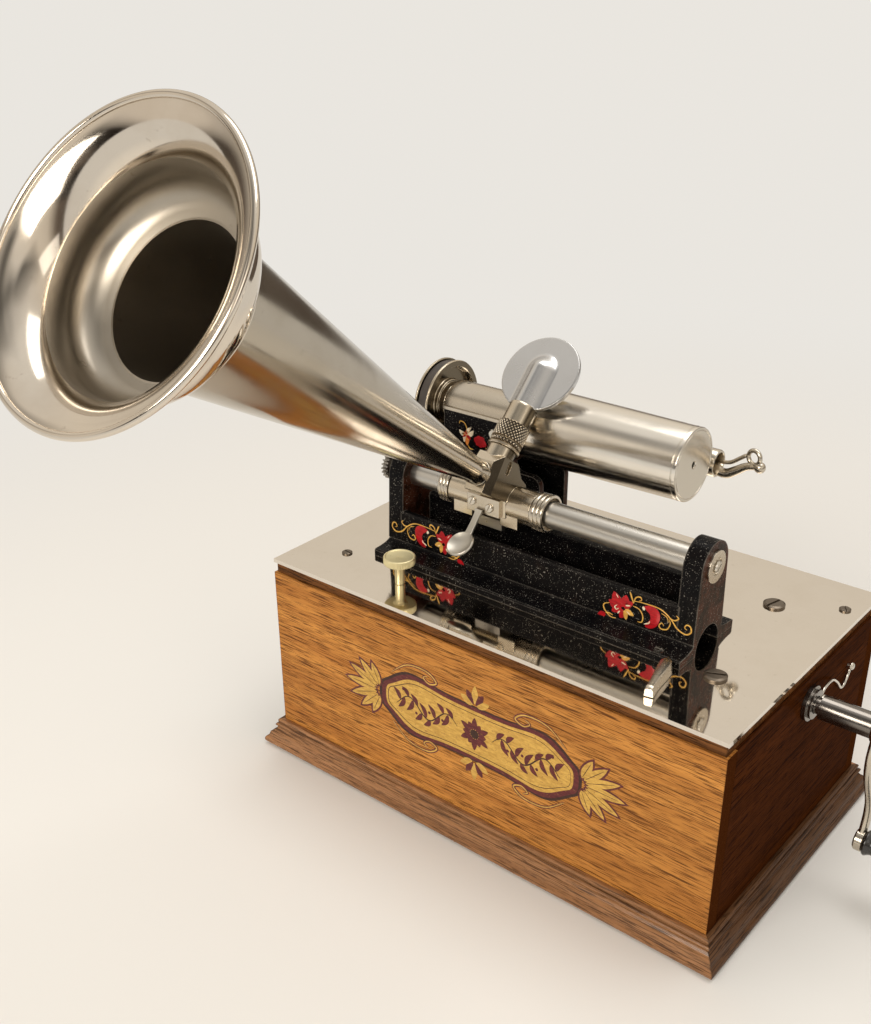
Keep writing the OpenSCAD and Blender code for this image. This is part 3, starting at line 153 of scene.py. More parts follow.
class Shape:
    """Mesh of one piece, gathered in metres"""

    def __init__(self):
        self.verts = []
        self.faces = []
        self.paints = []

    def face(self, corners, paint):
        self.faces.append(tuple(corners))
        self.paints.append(paint)

    def rows(self, rows, wrap=True, loop=False, caps=(False, False), paint=0):
        """Skin over rows of points of equal length"""
        base = len(self.verts)
        n = len(rows[0])
        count = len(rows)
        for row in rows:
            self.verts.extend(row)
        for i in range(count if loop else count - 1):
            a = base + i * n
            b = base + (i + 1) % count * n
            for j in range(n if wrap else n - 1):
                k = (j + 1) % n
                self.face((a + j, a + k, b + k, b + j), paint)
        if caps[0]:
            self.face(range(base + n - 1, base - 1, -1), paint)
        if caps[1]:
            self.face(range(base + (count - 1) * n, base + count * n), paint)

    def turned(self, profile, at, n=96, loop=False, caps=(False, False), wave=None, paint=0, shade=None):
        """Profile of radius and height turned about the Z of a frame; shade(angle, height) picks a paint"""
        first = len(self.faces)
        rows = []
        for r, s in profile:
            row = []
            for a in around(n):
                q = r + (wave(a, s) if wave else 0.0)
                row.append(at @ Vector((q * math.cos(a), q * math.sin(a), s)))
            rows.append(row)
        self.rows(rows, loop=loop, caps=caps, paint=paint)
        if shade:
            for i in range(len(profile) if loop else len(profile) - 1):
                s = (profile[i][1] + profile[(i + 1) % len(profile)][1]) / 2
                for j, a in enumerate(around(n, 0.5)):
                    self.paints[first + i * n + j] = shade(a, s)

    def swept(self, path, section, up=None):
        """Section carried along a path, both in metres; section(t) gives points across"""
        count = len(path)
        side = None
        rows = []
        for i, p in enumerate(path):
            ahead = (path[min(i + 1, count - 1)] - path[max(i - 1, 0)]).normalized()
            if up is not None:
                side = ahead.cross(Vector(up)).normalized()
            elif side is None:
                side = ahead.orthogonal().normalized()
            else:
                side = (side - ahead * side.dot(ahead)).normalized()
            over = side.cross(ahead)
            rows.append([p + side * a + over * b for a, b in section(i / (count - 1))])
        self.rows(rows, caps=(True, True))

    def rod(self, path, radius):
        """Round wire with rounded ends"""
        count = len(path)

        def section(t):
            i = t * (count - 1)
            near = min(i, count - 1 - i)
            r = radius * (0.55 if near < 0.5 else 0.9 if near < 1.5 else 1.0)
            return circle((0, 0), r, 14)

        self.swept(path, section)

    def done(self, name, body, paints, slot, replaces=(), crease=35.0):
        mesh = bpy.data.meshes.new(name)
        mesh.from_pydata(self.verts, [], self.faces)
        for polygon, paint in zip(mesh.polygons, self.paints):
            polygon.material_index = paint
        for paint in paints:
            mesh.materials.append(paint)
        work = bmesh.new()
        work.from_mesh(mesh)
        bmesh.ops.remove_doubles(work, verts=work.verts, dist=1e-7)
        bmesh.ops.recalc_face_normals(work, faces=work.faces)
        work.to_mesh(mesh)
        work.free()
        mesh.shade_smooth()
        mesh.set_sharp_from_angle(angle=math.radians(crease))
        obj = linked(name, mesh)
        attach(obj, body)
        if replaces:
            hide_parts(*replaces)


class Painted(Shape):
    """Ornament on one upright face"""

    def __init__(self, y):
        super().__init__()
        self.y = y

    def spot(self, point, lift):
        """Point of the face, raised toward the front"""
        return top(point.x, self.y - lift, point.y)

    def dome(self, outline, lift, paint):
        """Shape with a slightly raised middle"""
        middle = sum((Vector(p) for p in outline), Vector((0, 0))) / len(outline)
        rings = []
        for share, rise in ((1.0, 0.0), (0.97, 0.7), (0.6, 1.0)):
            rings.append([self.spot(middle + (Vector(p) - middle) * share, lift * rise) for p in outline])
        self.rows(rings, caps=(False, True), paint=paint)

    def stroke(self, points, width, lift, paint, steps=8):
        """Brush stroke that tapers at both ends"""
        section = ((-1, 0), (-0.6, 0.8), (0, 1), (0.6, 0.8), (1, 0))
        line = curve(points, steps)
        count = len(line)
        rows = []
        for i, p in enumerate(line):
            taper = 0.25 + 0.75 * math.sin(math.pi * i / (count - 1)) ** 0.5
            ahead = (line[min(i + 1, count - 1)] - line[max(i - 1, 0)]).normalized()
            across = Vector((-ahead.y, ahead.x)) * width / 2 * taper
            rows.append([self.spot(p + across * k, lift * rise) for k, rise in section])
        self.rows(rows, wrap=False, paint=paint)


# Finishes


class Nodes:
    """Shorthand for the nodes of one tree"""

    def __init__(self, tree):
        self.tree = tree

    def named(self, name):
        return self.tree.nodes[name]

    def node(self, kind, inputs=None, **settings):
        node = self.tree.nodes.new(kind)
        for key, value in settings.items():
            setattr(node, key, value)
        for key, value in (inputs or {}).items():
            self.put(node.inputs[key], value)
        return node

    def put(self, socket, value):
        if isinstance(value, bpy.types.NodeSocket):
            self.tree.links.new(value, socket)
        else:
            socket.default_value = value

    def calc(self, operation, a, b=0.0):
        return self.node("ShaderNodeMath", {0: a, 1: b}, operation=operation).outputs["Value"]

    def dot(self, a, b):
        return self.node("ShaderNodeVectorMath", {0: a, 1: b}, operation="DOT_PRODUCT").outputs["Value"]

    def ramp(self, value, stops):
        node = self.node("ShaderNodeValToRGB", {"Fac": value})
        ramp = node.color_ramp
        for i, (at, colour) in enumerate(stops):
            element = ramp.elements[i] if i < 2 else ramp.elements.new(at)
            element.position = at
            element.color = (*colour, 1.0)
        return node.outputs["Color"]

    def level(self, value, low, high, start=0.3, end=0.7, **settings):
        """Low to high while the value runs from start to end"""
        return self.node("ShaderNodeMapRange", {
            "Value": value, "From Min": start, "From Max": end, "To Min": low, "To Max": high,
        }, **settings).outputs["Result"]

    def mix(self, share, a, b, blend="MIX"):
        node = self.node("ShaderNodeMix", data_type="RGBA", blend_type=blend)
        for index, value in ((0, share), (6, a), (7, b)):
            if isinstance(value, tuple) and len(value) == 3:
                value = (*value, 1.0)
            self.put(node.inputs[index], value)
        return node.outputs[2]


class Paint(Nodes):
    """One material; lengths in metres"""

    def __init__(self, name, edge=0.0):
        self.material = bpy.data.materials.new(name)
        self.material.use_nodes = True
        super().__init__(self.material.node_tree)
        self.shader = self.named("Principled BSDF")
        self.coords = self.node("ShaderNodeTexCoord").outputs["Object"]
        self.normal = self.rounded(edge) if edge else None

    def rounded(self, radius):
        """Normal of a rounded edge"""
        return self.node("ShaderNodeBevel", {"Radius": radius}, samples=6).outputs["Normal"]

    def set(self, **values):
        for key, value in values.items():
            self.put(self.shader.inputs[key.replace("_", " ")], value)

    def noise(self, scale, detail=3.0, rough=0.5, distortion=0.0):
        """Noise per metre, with one scale or its own along each axis"""
        scales = (scale, scale, scale) if isinstance(scale, float) else scale
        where = self.node("ShaderNodeMapping", {"Vector": self.coords, "Scale": scales})
        return self.node("ShaderNodeTexNoise", {
            "Vector": where.outputs["Vector"], "Scale": 1.0, "Detail": detail, "Roughness": rough,
            "Distortion": distortion,
        }).outputs["Fac"]

    def facing_x(self):
        """One on faces across the case, nought on the rest"""
        normal = self.node("ShaderNodeNewGeometry").outputs["Normal"]
        x = self.node("ShaderNodeSeparateXYZ", {"Vector": normal}).outputs["X"]
        return self.level(self.calc("ABSOLUTE", x), 0.0, 1.0, 0.75, 0.9)

    def edge_wear_and_highlight(self, radius):
        """Share of worn edge, where the rounded and the true normal part; on the japan it also places a
        painted edge highlight
        """
        true = self.node("ShaderNodeNewGeometry").outputs["Normal"]
        return self.level(self.dot(self.rounded(radius), true), 1.0, 0.0, 0.75, 0.99)

    def bump(self, height, strength, distance):
        inputs = {"Height": height, "Strength": strength, "Distance": distance}
        if self.normal is not None:
            inputs["Normal"] = self.normal
        self.normal = self.node("ShaderNodeBump", inputs).outputs["Normal"]

    def done(self):
        if self.normal is not None:
            self.put(self.shader.inputs["Normal"], self.normal)
        return self.material


def stretched(axis, along, across):
    scale = [across, across, across]
    scale[axis] = along
    return tuple(scale)


def dimmed(colour, share):
    return tuple(share * c for c in colour)


def wood(name, axis, light, dark, pore, gloss=0.1, ends=None):
    """Open-grained varnished oak with its grain along one axis; ends is a painted shade, the darker tone
    given to faces across the case
    """
    edge = 0.0008
    p = Paint(name, edge)
    bands = p.noise(stretched(axis, 4.0, 130.0), detail=4.0, rough=0.55, distortion=0.6)
    tone = p.noise(stretched(axis, 3.0, 14.0), detail=2.0)
    pores = p.noise(stretched(axis, 90.0, 2600.0), detail=2.0)
    dashes = p.noise(stretched(axis, 42.0, 1450.0), detail=1.0)
    colour = p.mix(p.level(bands, 0.0, 1.0, 0.38, 0.62), light, dark)
    colour = p.mix(p.level(tone, 0.0, 0.4, 0.35, 0.7), colour, dimmed(light, 0.6))
    colour = p.mix(p.level(pores, 0.7, 0.0, 0.4, 0.46), colour, pore)
    colour = p.mix(p.level(dashes, 0.85, 0.0, 0.36, 0.41), colour, pore)
    colour = p.mix(p.level(p.edge_wear_and_highlight(edge * 1.5), 0.0, 0.5, 0.0, 1.0), colour, pore)
    # Faces across the case take a darker oak and no coat: a painted shade
    if ends:
        across = p.facing_x()
        colour = p.mix(across, colour, p.mix(p.level(pores, 1.0, 0.0, 0.35, 0.5), ends, pore))
        gloss = p.level(across, gloss, 0.0, 0.0, 1.0)
    p.set(Base_Color=colour, Roughness=p.level(pores, 0.6, 0.36, 0.4, 0.55), Specular_IOR_Level=0.0)
    p.set(Coat_Weight=gloss, Coat_Roughness=0.2)
    p.bump(pores, 0.4, 0.0002)
    p.bump(dashes, 0.3, 0.0002)
    return p.done()


def metal(name, colour, low, high, lines=None, edge=0.0, dull=None, stain=0.25, ends=None):
    """Metal with smudges, fine lines and a little tarnish; ends is a darker tone for faces across the case, a
    painted shade
    """
    p = Paint(name, edge)
    smudge = p.noise(38.0, detail=4.0, rough=0.6)
    spots = p.noise(210.0, rough=0.7)
    tint = dull or tuple(c * k for c, k in zip(colour, (0.74, 0.68, 0.58)))
    base = p.mix(p.level(smudge, 0.0, stain, 0.45, 0.75), colour, tint)
    base = p.mix(p.level(spots, 0.0, stain, 0.66, 0.74), base, dimmed(tint, 0.6))
    # Faces across the case take the darker ends tone, a painted shade
    if ends:
        base = p.mix(p.facing_x(), base, ends)
    p.set(Base_Color=base, Metallic=1.0, Roughness=p.level(smudge, low, high))
    if lines:
        p.bump(p.noise(lines, detail=2.0), 0.12, 0.00012)
    return p.done()


def japan(name):
    """Black stoving varnish on a casting, with light specks that are painted glints of its skin, worn edges
    lightened also as a painted highlight, and a browner tone across the case
    """
    black = ((0.35, (0.003, 0.003, 0.0035)), (0.62, (0.006, 0.005, 0.005)), (0.8, (0.02, 0.012, 0.009)))
    brown = ((0.4, (0.014, 0.006, 0.003)), (0.62, (0.07, 0.022, 0.012)))
    # Tones of the painted glints and of the lightened edges
    glint_tone, highlit_edge_tone = (0.42, 0.39, 0.34), (0.3, 0.27, 0.23)
    p = Paint(name, 0.0009)
    skin = p.noise(420.0, detail=2.0, rough=0.55)
    grit = p.noise(1300.0, detail=2.0, rough=0.6)
    worn = p.noise(90.0, detail=4.0, rough=0.65)
    base = p.mix(p.facing_x(), p.ramp(worn, black), p.ramp(worn, brown))
    # Light specks are painted glints, standing for the sparkle of the varnish skin under the lamps
    painted_glints = p.calc("MULTIPLY", p.level(grit, 0.0, 0.9, 0.64, 0.71), p.level(worn, 0.25, 1.0, 0.4, 0.6))
    base = p.mix(painted_glints, base, glint_tone)
    # Edges are lightened: partly worn through, partly a painted highlight of the rounded edge
    worn_and_highlit_edges = p.calc("MULTIPLY", p.edge_wear_and_highlight(0.0012), p.level(worn, 0.15, 0.9))
    base = p.mix(worn_and_highlit_edges, base, highlit_edge_tone)
    p.set(Base_Color=base, Roughness=p.level(worn, 0.14, 0.26), Specular_IOR_Level=0.06)
    p.bump(skin, 0.4, 0.0003)
    p.bump(grit, 0.3, 0.00012)
    return p.done()


def enamel(name, light, dark, rough=0.3, worn=None):
    """Hand-painted colour with brush marks; worn shows through where it has chipped"""
    p = Paint(name)
    brush = p.noise((260.0, 260.0, 900.0), rough=0.6)
    colour = p.mix(p.level(brush, 0.0, 1.0, 0.35, 0.65), light, dark)
    if worn:
        chips = p.noise(520.0, rough=0.7)
        colour = p.mix(p.level(chips, 0.0, 0.8, 0.6, 0.66), colour, worn)
    p.set(Base_Color=colour, Roughness=p.level(brush, rough, rough + 0.2), Specular_IOR_Level=0.3)
    p.bump(brush, 0.15, 0.0001)
    return p.done()


def soft(name, light, dark, scale, rough, bump=0.4, coat=0.0):
    """Leather, lacquer and sheet stuff"""
    p = Paint(name, 0.0004)
    large = p.noise(dimmed(scale, 0.2))
    fine = p.noise(scale, detail=4.0, rough=0.6)
    p.set(Base_Color=p.mix(p.level(large, 0.0, 1.0), light, dark))
    p.set(Roughness=p.level(fine, rough, rough + 0.2))
    p.set(Coat_Weight=coat, Coat_Roughness=0.1)
    p.bump(fine, bump, 0.0002)
    return p.done()


# Oaks as light, dark and pore
OAK = ((0.6, 0.265, 0.062), (0.4, 0.155, 0.034), (0.08, 0.026, 0.008))
# The side oak is painted far darker than the front: a painted shade on the sides turned from the light
SHADED_OAK = ((0.075, 0.021, 0.005), (0.048, 0.013, 0.003), (0.014, 0.004, 0.002))
BASE_OAK = ((0.36, 0.175, 0.075), (0.25, 0.115, 0.046), (0.07, 0.03, 0.012))
# The side mouldings are painted darker than the long ones, a painted shade on the sides
SHADED_STEP_OAK = ((0.13, 0.06, 0.026), (0.085, 0.038, 0.016), (0.025, 0.012, 0.006))
RAIL_OAK = ((0.2, 0.08, 0.026), (0.1, 0.04, 0.014), (0.02, 0.01, 0.005))
PLANED_OAK = ((0.33, 0.2, 0.1), (0.24, 0.13, 0.06), (0.1, 0.05, 0.03))
oak_front = wood("oak along the case", 0, *OAK, 0.22, ends=SHADED_OAK[1])
shaded_oak_side = wood("shaded oak across the case", 1, *SHADED_OAK, 0.02)
oak_base = wood("oak of the long mouldings", 0, *BASE_OAK, 0.7)
shaded_oak_step = wood("shaded oak of the side mouldings", 1, *SHADED_STEP_OAK, 0.45)
oak_rail = wood("rail stock", 0, *RAIL_OAK)
board = wood("planed board", 0, *PLANED_OAK, 0.0)

# Metals with their least and greatest roughness; lines per metre along each axis
TURNED_HEAD = (900.0, 900.0, 200.0)
nickel = metal("polished nickel", (0.7, 0.63, 0.54), 0.07, 0.15)
cone_nickel = metal("drawn horn nickel", (0.45, 0.4, 0.325), 0.12, 0.2)
# Rougher nickel painted darker: in the bell's inner bowl a painted shade; inside the cone it is as dark as
# the cone itself
shaded_bowl_nickel = metal("dulled nickel with painted shade", (0.45, 0.405, 0.34), 0.27, 0.38)
plate_nickel = metal("bedplate nickel", (0.75, 0.695, 0.62), 0.03, 0.08, stain=0.12)
sharp_nickel = metal("nickel fittings", (0.58, 0.52, 0.43), 0.18, 0.3, edge=0.0004)
# Tarnished nickel of the carriage block, the belt wheel and the reproducer's stem; its faces across the case
# are painted dark, a painted shade
aged_shaded_nickel = metal(
    "tarnished nickel with shaded ends", (0.64, 0.56, 0.44), 0.17, 0.27, edge=0.0005, stain=0.4, ends=(0.14, 0.115, 0.08),
)
knurl_nickel = metal("cut nickel", (0.52, 0.45, 0.35), 0.2, 0.3)
knurl_pits = metal("grime in the cuts", (0.11, 0.09, 0.07), 0.4, 0.6)
satin_nickel = metal("satin nickel", (0.56, 0.53, 0.47), 0.32, 0.42, edge=0.0003)
# Its faces across the case, the ends of the mandrel, are painted darker, a painted shade
brushed = metal(
    "brushed nickel", (0.8, 0.75, 0.67), 0.15, 0.23, (2600.0, 60.0, 60.0),
    edge=0.0003, stain=0.1, ends=(0.56, 0.51, 0.43),
)
tube_nickel = metal("drawn nickel tube", (0.56, 0.535, 0.49), 0.24, 0.34, (20.0, 1500.0, 1500.0), edge=0.0003)
screw_metal = metal("screw heads", (0.66, 0.62, 0.55), 0.16, 0.3, TURNED_HEAD, edge=0.0002)
dark_screw = metal("browned screws", (0.17, 0.14, 0.11), 0.28, 0.42, TURNED_HEAD, edge=0.0002)
steel = metal("dark steel", (0.34, 0.315, 0.28), 0.22, 0.38, (700.0, 700.0, 700.0), edge=0.0003)
shaft_steel = metal("crank steel", (0.22, 0.2, 0.18), 0.16, 0.28, (30.0, 900.0, 900.0), edge=0.0003)
brass = metal("lacquered brass", (0.86, 0.77, 0.48), 0.36, 0.46, edge=0.0002, dull=(0.62, 0.52, 0.26))
aluminium = metal(
    "satin aluminium", (0.64, 0.635, 0.63), 0.22, 0.3, (900.0, 900.0, 60.0), edge=0.0004, stain=0.1,
)

black_japan = japan("black japan")
leather = soft("belt leather", (0.062, 0.05, 0.042), (0.032, 0.026, 0.022), (600.0, 600.0, 600.0), 0.4)
mica = soft("mica", (0.7, 0.62, 0.42), (0.5, 0.42, 0.27), (300.0, 300.0, 300.0), 0.2, bump=0.1)
lacquer = soft(
    "black lacquered wood", (0.02, 0.016, 0.013), (0.008, 0.007, 0.006), (300.0, 900.0, 900.0), 0.18,
    bump=0.15, coat=0.6,
)
gold = enamel("gold paint", (0.78, 0.46, 0.1), (0.55, 0.29, 0.05), 0.28)
scarlet = enamel("scarlet paint", (0.5, 0.008, 0.014), (0.27, 0.003, 0.008), 0.25)
orange = enamel("orange paint", (0.8, 0.3, 0.06), (0.6, 0.14, 0.03))
cream = enamel("cream paint", (0.86, 0.78, 0.62), (0.7, 0.56, 0.38))
gilt = enamel("worn gilt", (0.62, 0.38, 0.085), (0.44, 0.25, 0.05), 0.35, (0.3, 0.14, 0.04))
maroon = enamel("maroon transfer", (0.13, 0.022, 0.022), (0.075, 0.014, 0.016), 0.35, (0.2, 0.08, 0.03))
umber = enamel("umber line", (0.05, 0.02, 0.012), (0.03, 0.012, 0.008), 0.35)

# Nodes that show as they come from the frame
COATS = {
    oak_front: ("front_panel", "rear_panel"),
    oak_base: ("front_moulding", "rear_moulding"),
    shaded_oak_side: ("left_panel", "right_panel"),
    shaded_oak_step: ("left_moulding", "right_moulding"),
    oak_rail: ("top_rails",),
    board: ("bottom_board",),
    plate_nickel: ("bedplate",),
    sharp_nickel: ("tube_washer", "mandrel_bearing", "clamp_plate", "rear_rod"),
    aged_shaded_nickel: ("carriage_body",),
    tube_nickel: ("carriage_tube",),
    screw_metal: ("standard_bolts", "tube_screw", "idler_stud"),
    dark_screw: ("plate_screws",),
    black_japan: ("carriage_frame", "mandrel_standard", "frame_bolts"),
    steel: (
        "motor_plates", "motor_pillars", "ratchet_click", "mandrel_shaft", "mandrel_gear", "idler_gear",
        "feed_screw", "feed_gear", "half_nut", "barrel_arbor", "second_arbor", "governor_arbor", "mainspring",
        "stylus_bar",
    ),
    shaft_steel: ("crank_shaft", "crank_escutcheon"),
    brass: ("spring_barrel",),
    aluminium: ("sound_box",),
    mica: ("diaphragm",),
}
for coat, names in COATS.items():
    for name in names:
        mesh = nodes[name].data
        mesh.materials.clear()
        mesh.materials.append(coat)


# Horn, measured along its axis from the elbow

HORN_SHEET = 0.9
HORN_JOINT = 257.1


def bell_side(offset):
    """Neck and flare of the bell, set off from the middle of its sheet"""
    neck = arc((33.57, 269.1), 12.0 + offset, -80, 0, 36)
    flare = arc((67.39, 270.1), 21.82 - offset, 180, 104, 48)
    return neck + flare


def build_bell():
    radius, start, bowl_end = 34.02, 251.1, 278
    bore = radius - HORN_SHEET
    outer = [(bore, start), (radius, start), (radius, HORN_JOINT - 0.5)] + bell_side(HORN_SHEET / 2)
    rim = arc((63.6, 291.59), 1.7, -60, 230, 30)
    inner = bell_side(-HORN_SHEET / 2)[::-1] + [(bore, HORN_JOINT)]
    bell = Shape()
    bell.turned(outer + rim + inner[:1], HORN, 256)
    # The inner bowl near the throat takes the darker nickel, a painted shade
    bell.turned(inner + outer[:1], HORN, 256, shade=lambda a, s: 1 if s < bowl_end else 0)
    bell.done("bell", "horn", [nickel, shaded_bowl_nickel], "nickel", ["horn_bell"], 50)


def build_cone():
    """Straight cone with its ferrule and the spigot that enters the elbow"""
    root, tip, count = 11.7, 20.8, 40
    root_radius, widening = 6.2, 26.9
    slope = widening / (HORN_JOINT - root)
    heights = [tip + (HORN_JOINT - tip) * i / count for i in range(count + 1)]
    outside = [(root_radius + (s - root) * slope, s) for s in heights]
    inside = [(r - HORN_SHEET, s) for r, s in outside[::-1]]
    spigot = [(3.9, 10.8), (3.9, 1.3), (4.8, 1.3), (4.8, 10.8)]
    ferrule = [(7.0, 10.8), (7.3, 11.1), (7.3, 12.4), (7.05, 12.6)]
    ferrule += [(7.05, 12.9), (7.3, 13.1), (7.3, 20.0), (7.2, 20.4)]
    cone = Shape()
    cone.turned(spigot + ferrule + outside, HORN, 192)
    cone.turned(outside[-1:] + inside + spigot[:1], HORN, 192, paint=1)
    cone.done("cone", "horn", [cone_nickel, shaded_bowl_nickel], "nickel", ["horn_cone"], 30)


def build_joint_bead():
    radius, middle, half = 34.04, 254.1, 2.4
    bead = [(radius, middle - half)] + arc((radius, middle), 1.8, -75, 75, 16) + [(radius, middle + half)]
    ring = Shape()
    ring.turned(bead, HORN, 192, loop=True)
    ring.done("joint_bead", "horn", [nickel], "nickel", ["horn_ring"], 50)


# Mandrel


def build_drum():
    start, length, count = -40.5, 103.5, 30
    wide, taper = 22.0, 1.3
    skin = [(19.6, 0.0), (21.3, 0.0), (wide, 0.7)]
    for i in range(count + 1):
        s = 1.2 + i * (length - 4.2) / count
        skin.append((wide - taper * s / length, s))
    skin += [(20.45, length - 2.8), (20.45, length - 2.4), (20.72, length - 2.2), (20.7, length - 0.6)]
    skin += arc((20.1, length - 0.6), 0.6, 0, 90, 5)
    skin += [(19.2, length), (19.1, length - 0.25), (18.8, length - 0.25), (18.7, length)]
    skin += [(2.4, length), (1.7, length - 0.5), (1.6, length - 3.0)]
    skin += [(4.0, length - 3.4), (18.0, length - 3.4), (19.0, 6.0)]
    drum = Shape()
    drum.turned(skin, along_x(MANDREL, start), 192, loop=True)
    drum.done("mandrel_drum", "mandrel", [brushed], "satin_nickel", ["mandrel"], 30)


def build_belt_wheel():
    start = -111.3
    web = [(5.02, 0), (8.0, 0), (9.0, 1.2), (19.0, 1.2), (20.4, 0.2)]
    flange = [(24.9, 0.0), (25.4, 0.5), (25.4, 1.4), (24.9, 1.75), (22.6, 1.75), (22.4, 2.0)]
    flange += [(22.4, 8.1), (22.6, 8.35), (24.9, 8.35), (25.4, 8.7), (25.4, 9.6), (24.9, 10.1)]
    hub = [(21.8, 10.1), (21.2, 9.4), (20.6, 6.1), (14.0, 6.1), (13.6, 6.6), (13.6, 8.4), (13.2, 8.8)]
    hub += [(12.5, 8.8), (12.3, 9.0), (12.3, 12.6), (11.8, 13.1), (5.02, 13.1)]
    wheel = Shape()
    wheel.turned(web + flange + hub, along_x(MANDREL, start), 160, loop=True)
    wheel.done("belt_wheel", "mandrel", [aged_shaded_nickel], "nickel", ["mandrel_pulley"], 30)


def build_belt():
    """Crowned strap round the belt wheel and the pulley of the governor"""
    thick = 0.8 * MM
    section = ((-1, -0.5), (-0.92, -1), (0.92, -1), (1, -0.5), (1, 0.4), (0.9, 0.8))
    section += ((0, 1), (-0.9, 0.8), (-1, 0.4))
    low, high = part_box("drive_belt")
    half = (high[0] - low[0]) / 2
    middle = (low[0] + high[0]) / 2
    big = (high[1] - low[1]) / 2 - thick
    small = big / 2
    upper = top(0, *MANDREL)
    lower = top(0, *GOVERNOR)
    drop = lower - upper
    aim = math.degrees(math.atan2(drop.z, drop.y))
    spread = math.degrees(math.acos((big - small) / drop.length))
    loop = arc(upper.yz, big, aim + spread, aim + 360 - spread, 72)
    loop += arc(lower.yz, small, aim - spread, aim + spread, 36)
    rows = []
    for i, (y, z) in enumerate(loop):
        ahead = (Vector(loop[(i + 1) % len(loop)]) - Vector(loop[i - 1])).normalized()
        out = Vector((0, ahead.y, -ahead.x))
        at = Vector((middle, y, z))
        rows.append([at + Vector((half * u, 0, 0)) + out * thick * v for u, v in section])
    belt = Shape()
    belt.rows(rows, loop=True)
    belt.done("leather_belt", "base", [leather], "leather", ["drive_belt"], 30)


# Carriage


def build_collars():
    """Beaded rings at both ends of the sleeve"""
    bore, groove, swell, lip_deep = 7.55, 10.45, 0.45, 2.6
    beads, steps = 3, 10
    rings = Shape()
    for start, width, lip in ((-70.5, 7.2, False), (-6.2, 8.2, True)):
        step = width / beads
        profile = [(bore, 0.0)]
        for i in range(beads):
            for k in range(steps + 1):
                a = math.pi * k / steps
                out = groove + swell * max(0.0, math.sin(a)) ** 0.6
                profile.append((out, (i + 0.5 - 0.47 * math.cos(a)) * step))
        if lip:
            profile += [(9.3, width), (9.0, width - lip_deep), (bore, width - lip_deep)]
        else:
            profile.append((bore, width))
        rings.turned(profile, along_x(TUBE, start), 128, loop=True)
    rings.done("collar_beads", "collars", [sharp_nickel], "nickel", ["sleeve_collars"], 40)


def build_union():
    """Collar of the stem with two bands of knurling"""
    bore, inside, start, shoulder = 4.1, 8.22, 18.4, 24.0
    diamonds_round, pitch, depth, pit = 26, 2.3, 0.95, -0.45

    def diamonds(a, s):
        if not (20.9 < s < 22.7 or 23.9 < s < 33.3):
            return 0.0
        u = abs((a * diamonds_round / math.tau + s / pitch) % 1.0 - 0.5) * 2
        v = abs((a * diamonds_round / math.tau - s / pitch) % 1.0 - 0.5) * 2
        return -depth * max(u, v) ** 2

    def finish(a, s):
        return 1 if diamonds(a, s) < pit else 0

    profile = [(bore, start), (9.3, start), (9.6, 18.7), (9.6, 19.6), (9.2, 20.0)]
    profile += [(8.1, 20.1), (8.1, 20.5), (8.8, 20.6)]
    profile += [(9.2, 20.8 + 2.0 * i / 12) for i in range(13)]
    profile += [(8.8, 23.0), (8.2, 23.1), (8.2, 23.5), (8.9, 23.6)]
    profile += [(9.4, 23.8 + 9.6 * i / 58) for i in range(59)]
    profile += [(8.9, 33.7), (inside, 33.7), (inside, shoulder), (bore, shoulder)]
    knurl = Shape()
    knurl.turned(profile, STEM, 12 * diamonds_round, loop=True, wave=diamonds, shade=finish)
    knurl.done("knurled_union", "union", [knurl_nickel, knurl_pits], "nickel", ["union_collar"], 30)


def build_spoon():
    """Thumb lever with a hollow pad"""
    pad = place(top(-40.0, -48.0, 27.0), (-6, "Y"), (32, "X"))
    arm = [(-38.0, -33.6, 44.0), (-38.1, -35.0, 41.2), (-38.6, -38.6, 35.9), (-39.4, -42.2, 30.6)]
    bar = ((-1, -0.5), (-0.9, -1), (0.9, -1), (1, -0.5), (1, 0.5), (0.9, 1), (-0.9, 1), (-1, 0.5))
    back = off_axis(arc((0, 14), 16.2, -90, -59.2, 14))
    rim = [(8.36, 0.35), (8.2, 0.85), (7.9, 1.1)]
    hollow = off_axis(arc((0, 14.3), 15, -59.4, -90, 14))

    def section(t):
        half = 2.7 - 0.5 * math.sin(math.pi * t)
        return [(half * u * MM, 0.8 * v * MM) for u, v in bar]

    spoon = Shape()
    spoon.turned(back + rim + hollow, pad, 96)
    spoon.swept([top(*p) for p in curve(arm, 10)], section, up=(0, 0, 1))
    spoon.done("thumb_spoon", "carriage", [satin_nickel], "nickel", ["thumb_lever"], 40)


def build_clamp_screws():
    """Slotted screws of the clamp plate, whose shanks stop short of the tube"""
    radius, high, floor, slot = 2.5, 1.2, 0.55, 0.35
    shank, shank_long, front = 1.45, 3.6, -32.6
    gap = math.degrees(math.asin(slot / radius))
    stem = [(shank, -shank_long), (shank, 0.02), (radius, 0.02), (radius, floor)]
    pair = Shape()
    for x, z in ((-43.6, 47.7), (-31.5, 46.2)):
        at = place(top(x, front, z), (90, "X"), (65, "Z"))
        pair.turned(stem, at, 48, caps=(True, True))
        for start in (gap, 180 + gap):
            half = arc((0, 0), radius, start, start + 180 - 2 * gap, 24)
            rounded = arc((0, 0), radius - 0.3, start + 2, start + 178 - 2 * gap, 24)
            levels = ((half, floor), (half, high - 0.25), (rounded, high))
            rows = [[at @ Vector((*p, level)) for p in outline] for outline, level in levels]
            pair.rows(rows, caps=(True, True))
    pair.done("clamp_screw_pair", "carriage", [screw_metal], "screw_steel", ["clamp_screws"], 30)


# Reproducer


